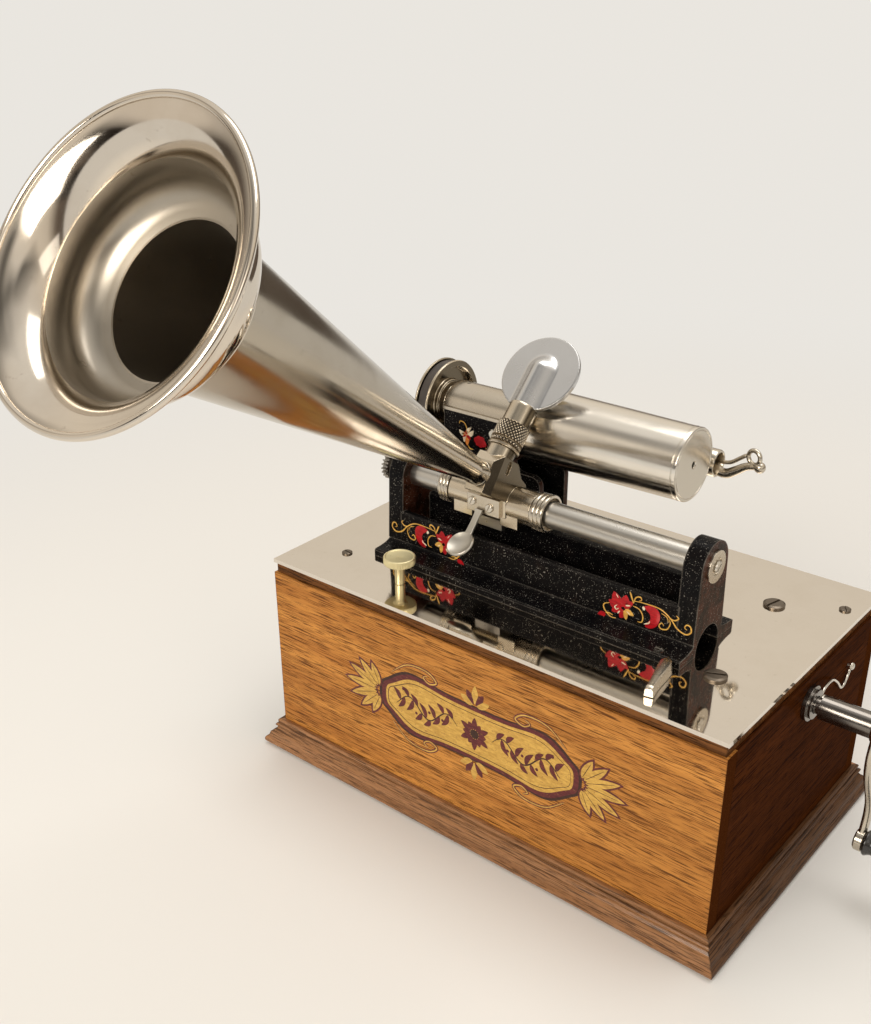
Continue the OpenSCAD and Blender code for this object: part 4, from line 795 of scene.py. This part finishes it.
def build_reproducer():
    """Pressed disc whose spine runs on from the stem"""
    centre, radius, face, back = 67.2, 23.5, 1.4, -1.6
    spine_end, spine_half, spine_high = 69.5, 10.5, 6.0
    pole, rings, count = 0.02, 48, 160

    def rise(x, s):
        d = abs(x) if s < spine_end else math.hypot(x, s - spine_end)
        if d >= spine_half:
            return 0.0
        return spine_high * (1 - (d / spine_half) ** 2) ** 2

    def ring(r, height, spine=1):
        return [STEM @ Vector((x, height + spine * rise(x, s), s)) for s, x in circle((centre, 0), r, count)]

    rows = [ring(max(pole, (radius - 0.5) * i / rings), face) for i in range(rings + 1)]
    rows += [ring(radius - 0.15, face - 0.15), ring(radius, face - 0.5)]
    rows += [ring(radius, back + 0.6, 0), ring(radius - 0.6, back, 0), ring(pole, back, 0)]
    stem = [(4.0, 23.2), (8.1, 23.2), (8.2, 23.4)] + [(8.2, 24.0 + 2.0 * i) for i in range(11)]
    stem += [(8.15, 45.4), (7.9, 45.8), (4.0, 45.8)]
    disc = Shape()
    disc.rows(rows, caps=(True, True))
    disc.turned(stem, STEM, 96, loop=True, paint=1)
    paints = [aluminium, aged_shaded_nickel]
    disc.done("reproducer_plate", "reproducer", paints, "aluminium", ["reproducer_disc"], 40)


# Controls


def build_speed_screw():
    teeth, depth = 62, 0.28

    def milled(a, s):
        return -depth * (0.5 - 0.5 * math.cos(a * teeth)) if 13.6 < s < 17.2 else 0.0

    profile = [(2.25, -14.0), (2.25, -0.6), (2.9, 0.3), (2.9, 11.0), (3.3, 11.8), (4.4, 12.8)]
    profile += [(8.8, 13.0), (9.2, 13.3)] + [(9.4, 13.7 + 0.35 * i) for i in range(10)]
    profile += [(9.2, 17.3), (8.8, 17.6), (8.3, 17.6), (7.9, 17.2), (3.6, 16.8), (AXIS, 16.7)]
    screw = Shape()
    screw.turned(profile, upright(-69.8, -66.5), 4 * teeth, caps=(True, False), wave=milled)
    screw.done("milled_screw", "speed", [brass], "brass", ["speed_screw"], 30)


def build_start_lever():
    """Lever with a rounded root and softened upper edges"""
    root, turn, clear = Vector((96.0, -54.2, 0)), math.radians(12), 0.4
    behind, length, steps, root_steps = -3.8, 30.6, 24, 4
    side = ((1, 0), (1, 0.35), (0.97, 0.7), (0.8, 0.93), (0.55, 1))
    section = [(-u, v) for u, v in side] + list(side[::-1])
    ahead = Vector((math.sin(turn), -math.cos(turn), 0))
    across = Vector((math.cos(turn), math.sin(turn), 0))
    rows = []
    for i in range(steps + 1):
        t = i / steps
        half = 3.8 - 1.3 * t + 0.35 * math.sin(math.tau * t)
        if i <= root_steps:
            half *= math.sqrt(max(0.02, 1 - ((root_steps - i) / root_steps) ** 2))
        high = 6.4 - 0.4 * t - (1.2 if i == steps else 0.0)
        row = []
        for u, v in section:
            belly = 1 - 0.12 * math.sin(math.pi * v)
            p = root + ahead * (behind + length * t) + across * (half * u * belly)
            row.append(top(p.x, p.y, clear + (high - clear) * v))
        rows.append(row)
    lever = Shape()
    lever.rows(rows, caps=(True, True))
    lever.turned([(3.0, -8.0), (3.0, 1.5)], upright(root.x, root.y), 48, caps=(True, True))
    lever.done("stop_lever", "start", [sharp_nickel], "nickel", ["start_lever"], 40)


# Crank

CRANK_X = 185.0


def build_crank_arm():
    half_thick, bow, steps, roundness = 2.0, 6.5, 40, 0.7

    def middle(t):
        """Bowed line from the shaft to the handle"""
        y = CRANK[0] + (KNOB[0] - CRANK[0]) * t - bow * math.sin(math.tau * t) * (1 - 0.3 * t)
        return top(CRANK_X + half_thick, y, CRANK[1] + (KNOB[1] - CRANK[1]) * t)

    def section(t):
        half = 4.0 * (1.15 - 0.3 * t)
        return [
            (half * squared(math.cos(a), roundness) * MM, half_thick * squared(math.sin(a), roundness) * MM)
            for a in around(20, 0.5)
        ]

    boss = [(AXIS, 4.6), (5.0, 4.9), (7.6, 4.6), (8.6, 3.8), (8.7, 2.4), (8.6, 0.9), (8.0, 0.0), (4.6, 0.0)]
    eye = [(AXIS, -0.5), (5.2, -0.5), (6.0, 0.3), (6.0, 3.9), (5.2, 4.5), (2.5, 4.5)]
    pin = [(2.5, 45.0), (3.8, 45.1), (4.0, 45.7), (3.4, 46.7), (AXIS, 47.0)]
    arm = Shape()
    arm.swept([middle(i / steps) for i in range(steps + 1)], section, up=(1, 0, 0))
    arm.turned(boss, along_x(CRANK, CRANK_X), 64)
    arm.turned(eye + pin, along_x(KNOB, CRANK_X), 64)
    arm.done("crank_bow", "crank", [sharp_nickel], "nickel", ["crank_arm"], 35)


def build_handle():
    start, bore = 189.8, 2.55
    neck = [(bore, 0), (6.2, 0), (6.9, 0.6), (7.0, 1.4), (6.0, 3.2), (5.6, 4.6), (5.9, 7)]
    grip = [(7.2, 13.6), (8.5, 20.0), (9.0, 26.4), (8.7, 32), (7.6, 36.8), (5.6, 39.6), (bore, 40)]
    handle = Shape()
    handle.turned(curve(neck + grip, 4), along_x(KNOB, start), 96, loop=True)
    handle.done("handle", "knob", [lacquer], "black_wood", ["crank_knob"], 40)


def build_crank_clip():
    """Bent wire with the stud and the nail that hold it to the case"""
    line = curve([
        (153.0, 6.6, -28.6), (153.3, 7.6, -24.6), (153.3, 12.6, -20.6), (152.4, 22.0, -21.6),
        (151.6, 29.5, -24.6), (151.2, 37.5, -30.4), (151.2, 43.4, -36.4), (151.2, 47.6, -36.9),
        (151.2, 51.2, -33.6), (151.4, 53.2, -29.0),
    ])
    stud = [(AXIS, 3.9), (1.6, 3.75), (2.8, 3.2), (3.6, 2.3), (3.9, 1.2), (3.9, 0.1), (1.5, 0.0), (1.5, -8.0)]
    nail = [(AXIS, 2.2), (1.3, 2.0), (2.0, 1.4), (2.2, 0.6), (1.9, 0.0), (1.0, -0.2), (1.0, -8.0)]
    clip = Shape()
    clip.rod([top(*p) for p in line], 0.8 * MM)
    clip.turned(stud, along_x((10.8, -27.6), 152.4), 48, caps=(False, True))
    clip.turned(nail, along_x((52.8, -27.2), 151.6), 40, caps=(False, True))
    clip.done("crank_spring", "base", [screw_metal], "screw_steel", ["crank_clip"], 40)


# Rear rod


def build_rear_hook():
    """Cup on the rod with a hooked arm, a wire and its eye"""
    start = 46.0
    cup = [(3.02, 0.0), (6.6, 0.0), (7.4, 0.5), (8.0, 1.4), (8.0, 13.2), (7.6, 14.0), (6.6, 14.2)]
    cup += [(6.2, 13.6), (6.2, 6.4), (3.0, 5.8), (3.02, 4.5)]
    ball = off_axis(arc((0, 0), 3.2, -90, 90, 20))
    shank = [(51.0, 0, -2.4), (58.0, 0, -3.6), (65.0, -0.3, -4.4), (71.0, -0.6, -1.0)]
    shank += [(76.0, -0.8, 2.4), (80.0, -1.0, 3.8), (84.0, -1.0, 4.2)]
    wire = [(53.0, 1.0, 1.6), (60.0, 0.8, 1.4), (66.5, 0.4, 2.4), (72.0, 0, 6.2), (76.4, -0.4, 9.6)]
    eye = place(top(80.8, ROD[0] - 1.0, ROD[1] + 9.2), (-15, "Z"), (90, "X"))

    def from_rod(points):
        return [top(x, ROD[0] + y, ROD[1] + z) for x, y, z in points]

    def flat_bar(t):
        half = 3.5 - 1.7 * t
        return [(half * math.cos(a) * MM, 1.9 * math.sin(a) * MM) for a in around(18)]

    hook = Shape()
    hook.turned(cup, along_x(ROD, start), 72, loop=True)
    hook.swept(from_rod(curve(shank, 6)), flat_bar, up=(0, 1, 0))
    hook.turned(ball, upright(84.6, ROD[0] - 1.0, ROD[1] + 4.2), 40)
    hook.rod(from_rod(curve(wire, 6)), 1.2 * MM)
    hook.turned(circle((4.0, 0), 1.3, 14), eye, 40, loop=True)
    hook.done("rear_catch", "base", [sharp_nickel], "nickel", ["rear_hook"], 40)


# Painted ornament; a lift is the height of the paint in millimetres

FLOWER_PAINTS = [scarlet, gold, cream, orange]
SCARLET, GOLD, CREAM, ORANGE = range(4)
PANEL_PAINTS = [gilt, maroon, umber]
GILT, MAROON, UMBER = range(3)
# Depths of the painted faces
WALL, STANDARD_FACE, CASE_FRONT = -35.72, 6.98, -90.52


def blade(base, tip, width, bend=0.0):
    """Outline of a leaf or petal"""
    count = 10
    base, tip = Vector(base), Vector(tip)
    along = tip - base
    across = Vector((-along.y, along.x))
    left, right = [], []
    for i in range(count + 1):
        t = i / count
        spine = base + along * t + across * bend * math.sin(math.pi * t)
        half = width / 2 / along.length * math.sin(math.pi * min(1.0, t ** 0.8)) ** 0.75
        left.append(spine + across * half)
        right.append(spine - across * half)
    return left + right[-2:0:-1]


def spray(art, at, side):
    """Flower spray of the casting; side is +1 or -1 along the case"""
    lift = 0.13

    def set_out(points):
        return [(at + side * x, z) for x, z in points]

    for base, tip, width, bend in (
        ((58.5, 15.6), (53.0, 23.4), 6.4, 0.1), ((58.5, 16.0), (60.6, 23.6), 5.6, -0.1),
        ((58.0, 15.2), (50.2, 17.6), 5.4, 0.1), ((58.4, 14.6), (52.4, 11.2), 4.6, -0.1),
        ((59.0, 14.4), (57.6, 8.9), 4.2, 0.1), ((60.0, 15.4), (65.0, 20.6), 4.2, 0.1),
    ):
        art.dome(blade(*set_out([base, tip]), width, bend * side), lift, SCARLET)
    for base, tip, width in (((60.4, 15.0), (65.8, 12.9), 3.2), ((60.2, 14.4), (61.4, 9.0), 3.0)):
        art.dome(blade(*set_out([base, tip]), width), lift * 1.1, GOLD)
    crescent = curve(set_out([
        (71.2, 20.6), (75.4, 22.6), (79.6, 20.8), (81.0, 17.2), (79.8, 12.2), (76.2, 9.0), (72.6, 9.2),
        (74.8, 12.4), (75.6, 15.6), (74.0, 18.6), (71.2, 20.6),
    ]), 4)[:-1]
    art.dome(crescent, lift, SCARLET)
    art.dome(blade(*set_out([(48.8, 8.8), (43.6, 5.2)]), 3.6), lift, SCARLET)
    for points, width in (
        ([(55.6, 16.2), (54.2, 14.6), (55.2, 13.4), (56.6, 14.4)], 0.9),
        ([(57.4, 13.2), (56.2, 11.2)], 1.1), ([(60.6, 17.4), (63.4, 18.2)], 1.2),
        ([(61.4, 14.2), (63.6, 12.9)], 0.9), ([(70.8, 20.4), (71.6, 18.4)], 1.6),
        ([(72.2, 10.4), (74.8, 11.8), (75.2, 13.2)], 1.0), ([(56.0, 20.4), (54.6, 22.4)], 0.6),
    ):
        art.stroke(set_out(points), width, lift * 1.7, CREAM)
    tendril = [(64.6, 21.6), (71.1, 22.4), (80.5, 22.3), (86.8, 18.9), (91.1, 14.4), (95.9, 12.8)]
    tendril += [(98.9, 15.0), (98.3, 18.0), (96.2, 18.4), (95.2, 16.5), (96.7, 15.6)]
    curl = [(86.1, 18.4), (87.0, 15.7), (85.4, 12.0), (82.1, 11.1), (80.8, 12.7), (82.2, 14.6), (83.6, 13.4)]
    for points, width in (
        (tendril, 0.85),
        ([(86.8, 18.9), (89.4, 18.6), (91.4, 20.4), (90.0, 21.7)], 0.75),
        (curl, 0.75),
        ([(81.6, 20.2), (84.8, 18.9), (86.0, 16.3)], 0.5),
        ([(65.1, 20.2), (63.4, 24.3), (62.5, 26.2)], 0.9),
        ([(65.1, 20.2), (66.2, 23.9), (68.8, 25.1), (69.6, 23.6), (68.2, 22.7)], 0.75),
        ([(65.0, 18.6), (68.7, 17.9), (71.0, 14.6), (70.6, 11.0), (68.2, 10.4)], 0.75),
        ([(50.8, 15.8), (47.6, 14.0), (47.7, 11.3), (50.3, 8.7), (52.4, 7.6), (55.4, 7.9)], 0.8),
        ([(48.8, 8.8), (50.6, 9.6), (53.4, 9.0)], 0.7),
    ):
        art.stroke(set_out(points), width, lift * 1.3, GOLD)


def build_sprays():
    front = Painted(WALL)
    spray(front, 0.0, 1)
    spray(front, -3.0, -1)
    front.done("flower_sprays", "base", FLOWER_PAINTS, "black_japan")


def build_badge():
    """Lily and rose on the face of the mandrel standard"""
    lily, rose = (-79.0, 66.8), (-68.6, 64.8)
    lily_lift, rose_lift, line_lift, line_width = 0.15, 0.17, 0.2, 0.7
    badge = Painted(STANDARD_FACE)
    for tip, width, bend, paint in (
        ((-84.4, 69.0), 3.0, 0.15, CREAM), ((-83.4, 66.6), 2.4, -0.1, ORANGE),
        ((-73.4, 70.8), 3.0, -0.15, CREAM), ((-75.2, 72.2), 2.4, 0.1, CREAM),
        ((-78.2, 60.0), 3.2, 0.05, ORANGE), ((-80.4, 61.8), 2.4, -0.1, CREAM),
        ((-75.8, 64.4), 3.0, 0.1, SCARLET), ((-81.6, 65.0), 2.6, 0.1, SCARLET),
        ((-78.0, 70.4), 2.4, 0.0, SCARLET),
    ):
        badge.dome(blade(lily, tip, width, bend), lily_lift, paint)
    for reach, angle, width in (
        (4.8, 165, 4.8), (4.4, 110, 4.6), (4.6, 50, 4.4), (5.2, -20, 4.8), (4.4, -80, 4.4), (4.2, -135, 4.4),
    ):
        a = math.radians(angle)
        tip = (rose[0] + reach * math.cos(a), rose[1] + 0.85 * reach * math.sin(a))
        badge.dome(blade(rose, tip, width), rose_lift, SCARLET)
    for points in (
        [(-79.0, 68.0), (-78.6, 71.0), (-80.4, 74.0), (-83.4, 74.6), (-84.2, 73.0)],
        [(-78.6, 66.4), (-77.0, 68.8), (-76.4, 71.6)],
        [(-78.4, 61.4), (-76.0, 58.8), (-73.4, 58.6)],
        [(-64.4, 62.0), (-61.6, 60.6), (-60.4, 62.4), (-61.8, 63.6)],
    ):
        badge.stroke(points, line_width, line_lift, GOLD)
    badge.done("standard_flower", "base", FLOWER_PAINTS, "black_japan")


# Leaf panel on the front of the case, measured from its middle


def on_panel(u, v):
    return Vector((3.5 + u, -60.0 + v))


def heading(angle):
    return Vector((math.cos(angle), math.sin(angle)))


def panel_ground(art):
    """Lobed cartouche with its borders and an inner line"""
    half_wide, half_high = 66, 17.5
    layers = ((1.06, 1.2, 0.03, UMBER), (1.045, 1.15, 0.06, MAROON), (1.0, 1.0, 0.1, GILT))
    outline = []
    for a in around(120):
        v = half_high * squared(math.sin(a), 0.75) * (1 + 0.12 * math.cos(6 * a))
        outline.append((half_wide * squared(math.cos(a), 0.55), v))
    for wide, high, lift, paint in layers:
        art.dome([on_panel(wide * u, high * v) for u, v in outline], lift, paint)
    rim = [on_panel(0.955 * u, 0.84 * v) for u, v in outline]
    art.stroke(rim + rim[:2], 0.7, 0.14, UMBER, 2)


def panel_star(art):
    for k, a in enumerate(around(12)):
        reach = 11.0 if k % 2 else 8.2
        petal = blade(on_panel(*(heading(a) * 2.6)), on_panel(*(heading(a) * reach)), 4.0)
        art.dome(petal, 0.15, MAROON)
    art.dome(circle(on_panel(0, 0), 3.0, 24), 0.2, UMBER)


def panel_vine(art, side):
    """Waving stem with leaves and berries"""
    count = 15
    waves = [5.0 * math.sin(i * 0.72) for i in range(count)]
    stem = [on_panel(side * (12 + 3.2 * i), wave) for i, wave in enumerate(waves)]
    art.stroke(stem, 1.3, 0.16, UMBER, 5)
    for i in range(1, count - 1):
        grow = 1 if i % 2 else -1
        tip = stem[i] + Vector((side * 5.2, grow * 7.2 - 0.45 * waves[i]))
        art.dome(blade(stem[i], tip, 3.3, 0.12 * grow * side), 0.17, MAROON)
        if i % 3 == 0:
            berry = stem[i] + Vector((side * 1.0, -grow * 5.0))
            art.dome(circle(berry, 1.0, 14), 0.18, MAROON)


def panel_fan(art, side):
    """Seven edged and veined leaves at one end"""
    base = on_panel(side * 68.0, 0)
    for k in range(7):
        d = heading(math.radians(-66 + 22 * k))
        d.x *= side
        reach = 30.0 - 1.6 * abs(k - 3) ** 1.6
        art.dome(blade(base + d * 3.0, base + d * reach, 7.6), 0.05, MAROON)
        art.dome(blade(base + d * 4.2, base + d * (reach - 2.0), 5.4), 0.12, GILT)
        art.stroke([base + d * 5.0, base + d * (reach * 0.8)], 0.6, 0.17, UMBER)


def panel_scroll(art, side, up):
    points = ((60, 17), (48, 26), (34, 27), (27, 22.4), (32, 19.6), (36.4, 22.2), (33.4, 24.2))
    scroll = [on_panel(side * u, up * v) for u, v in points]
    art.stroke(scroll, 2.4, 0.1, MAROON)
    art.stroke(scroll, 1.3, 0.15, GILT)


def panel_crest(art, up):
    """Five leaves over or under the middle"""
    base = on_panel(0, up * 18)
    for k in range(5):
        d = heading(math.radians(90 + 32 * (k - 2)))
        d.y *= up
        leaf = blade(base + d * 1.5, base + d * (13.5 if k == 2 else 11), 4.6)
        art.dome(leaf, 0.08, MAROON if k % 2 else GILT)


def build_transfer():
    art = Painted(CASE_FRONT)
    panel_ground(art)
    panel_star(art)
    for side in (-1, 1):
        panel_vine(art, side)
        panel_fan(art, side)
        for up in (-1, 1):
            panel_scroll(art, side, up)
    for up in (-1, 1):
        panel_crest(art, up)
    art.done("case_transfer", "base", PANEL_PAINTS, "oak")


# Stage

BACKDROP = (0.82, 0.79, 0.74)
PALE_WALL = (0.78, 0.71, 0.62)
TOWARD_WALL = (-0.71, -0.69, 0.12)
SKY = (
    (0.0, (0.2, 0.16, 0.12)), (0.5, (0.12, 0.095, 0.075)), (0.56, (0.16, 0.125, 0.1)),
    (0.65, (0.72, 0.65, 0.55)), (0.76, (0.84, 0.76, 0.65)), (0.88, (0.8, 0.75, 0.68)),
    (1.0, (0.9, 0.87, 0.82)),
)


def floor_finish():
    """Matt floor; its far part shows an even pale tone to the eye and in reflections"""
    material = bpy.data.materials.new("studio floor")
    material.use_nodes = True
    tree = Nodes(material.node_tree)
    shader = tree.named("Principled BSDF")
    tree.put(shader.inputs["Base Color"], (0.72, 0.71, 0.69, 1.0))
    tree.put(shader.inputs["Roughness"], 0.75)
    spot = tree.node("ShaderNodeTexCoord").outputs["Object"]
    reach = tree.node("ShaderNodeVectorMath", {0: spot}, operation="LENGTH").outputs["Value"]
    far = tree.level(reach, 0.0, 1.0, 0.35, 1.1, interpolation_type="SMOOTHSTEP")
    rays = tree.node("ShaderNodeLightPath").outputs
    seen = tree.calc("MAXIMUM", rays["Is Camera Ray"], rays["Is Glossy Ray"])
    even = tree.node("ShaderNodeEmission", {"Color": (*BACKDROP, 1.0)}).outputs["Emission"]
    share = tree.calc("MULTIPLY", far, seen)
    blend = tree.node("ShaderNodeMixShader", {"Fac": share, 1: shader.outputs["BSDF"], 2: even})
    tree.put(tree.named("Material Output").inputs["Surface"], blend.outputs["Shader"])
    return material


def build_floor():
    """Disc in rings about the object, in metres"""
    rings = (8.0, 4.0, 1.2, 0.4)
    disc = Shape()
    disc.rows([[(*p, 0.0) for p in circle((0, 0), radius, 64)] for radius in rings], caps=(False, True))
    mesh = bpy.data.meshes.new("studio_floor")
    mesh.from_pydata(disc.verts, [], disc.faces)
    mesh.materials.append(floor_finish())
    ground = linked("studio_floor", mesh)


def build_world():
    """Room that the metal mirrors; the eye sees an even backdrop"""
    world = bpy.data.worlds.new("studio")
    bpy.context.scene.world = world
    world.use_nodes = True
    tree = Nodes(world.node_tree)
    coords = tree.node("ShaderNodeTexCoord").outputs["Generated"]
    parts = tree.node("ShaderNodeSeparateXYZ", {"Vector": coords}).outputs
    sky = tree.ramp(tree.level(parts["Z"], 0.0, 1.0, -1.0, 1.0), SKY)
    # Only the room in front of the object has dark shapes in it
    shapes = tree.node("ShaderNodeTexNoise", {"Vector": coords, "Scale": 1.7, "Detail": 1.0}).outputs["Fac"]
    front = tree.level(parts["Y"], 0.0, 1.0, 0.0, -0.5)
    dim = tree.mix(front, sky, tree.level(shapes, 0.16, 1.0, 0.4, 0.56), "MULTIPLY")
    # A pale wall low at the left of the room, which the flare of the bell and the mandrel mirror
    near = tree.level(tree.dot(coords, TOWARD_WALL), 0.0, 1.0, 0.9, 0.97)
    lit = tree.mix(near, dim, PALE_WALL)
    seen = tree.node("ShaderNodeLightPath").outputs["Is Camera Ray"]
    back = tree.named("Background")
    tree.put(back.inputs["Color"], tree.mix(seen, lit, BACKDROP))
    tree.put(back.inputs["Strength"], 1.0)


def build_lamps():
    for name, at, aim, size, power, tint in (
        ("key", (0.1, -2.1, 1.2), (0.0, 0.0, 0.15), (1.5, 0.9), 34.0, (1.0, 0.94, 0.85)),
        ("overhead", (0.1, 0.5, 1.9), (0.0, 0.0, 0.2), (1.6, 1.0), 15.0, (1.0, 0.97, 0.93)),
        ("side", (1.7, -0.6, 0.9), (0.0, 0.0, 0.2), (0.7, 0.9), 2.0, (1.0, 0.96, 0.9)),
    ):
        lamp = bpy.data.lights.new(name, "AREA")
        lamp.shape = "RECTANGLE"
        lamp.size, lamp.size_y = size
        lamp.energy = power
        lamp.color = tint
        obj = linked(name, lamp)
        obj.location = at
        obj.rotation_euler = (Vector(aim) - Vector(at)).to_track_quat("-Z", "Y").to_euler()


def build_camera():
    """Camera fitted to the photo, in metres and degrees"""
    at = (0.33554, -0.52695, 0.46345)
    azimuth, rise, roll = 41.37, 26.63, -1.30
    turn = spun((azimuth, "Z"), (90 - rise, "X"), (roll, "Z"))
    data = bpy.data.cameras.new("camera")
    data.lens = 42.30
    data.sensor_width = 36.0
    data.shift_x = 0.0356
    data.shift_y = 0.0363
    data.clip_end = 100.0
    camera = linked("camera", data)
    camera.matrix_world = Matrix.Translation(at) @ turn
    bpy.context.scene.camera = camera
    bpy.context.scene.view_settings.view_transform = "Standard"


build_bell()
build_cone()
build_joint_bead()
build_drum()
build_belt_wheel()
build_belt()
build_collars()
build_union()
build_spoon()
build_clamp_screws()
build_reproducer()
build_speed_screw()
build_start_lever()
build_crank_arm()
build_handle()
build_crank_clip()
build_rear_hook()
build_sprays()
build_badge()
build_transfer()
build_floor()
build_world()
build_lamps()
build_camera()
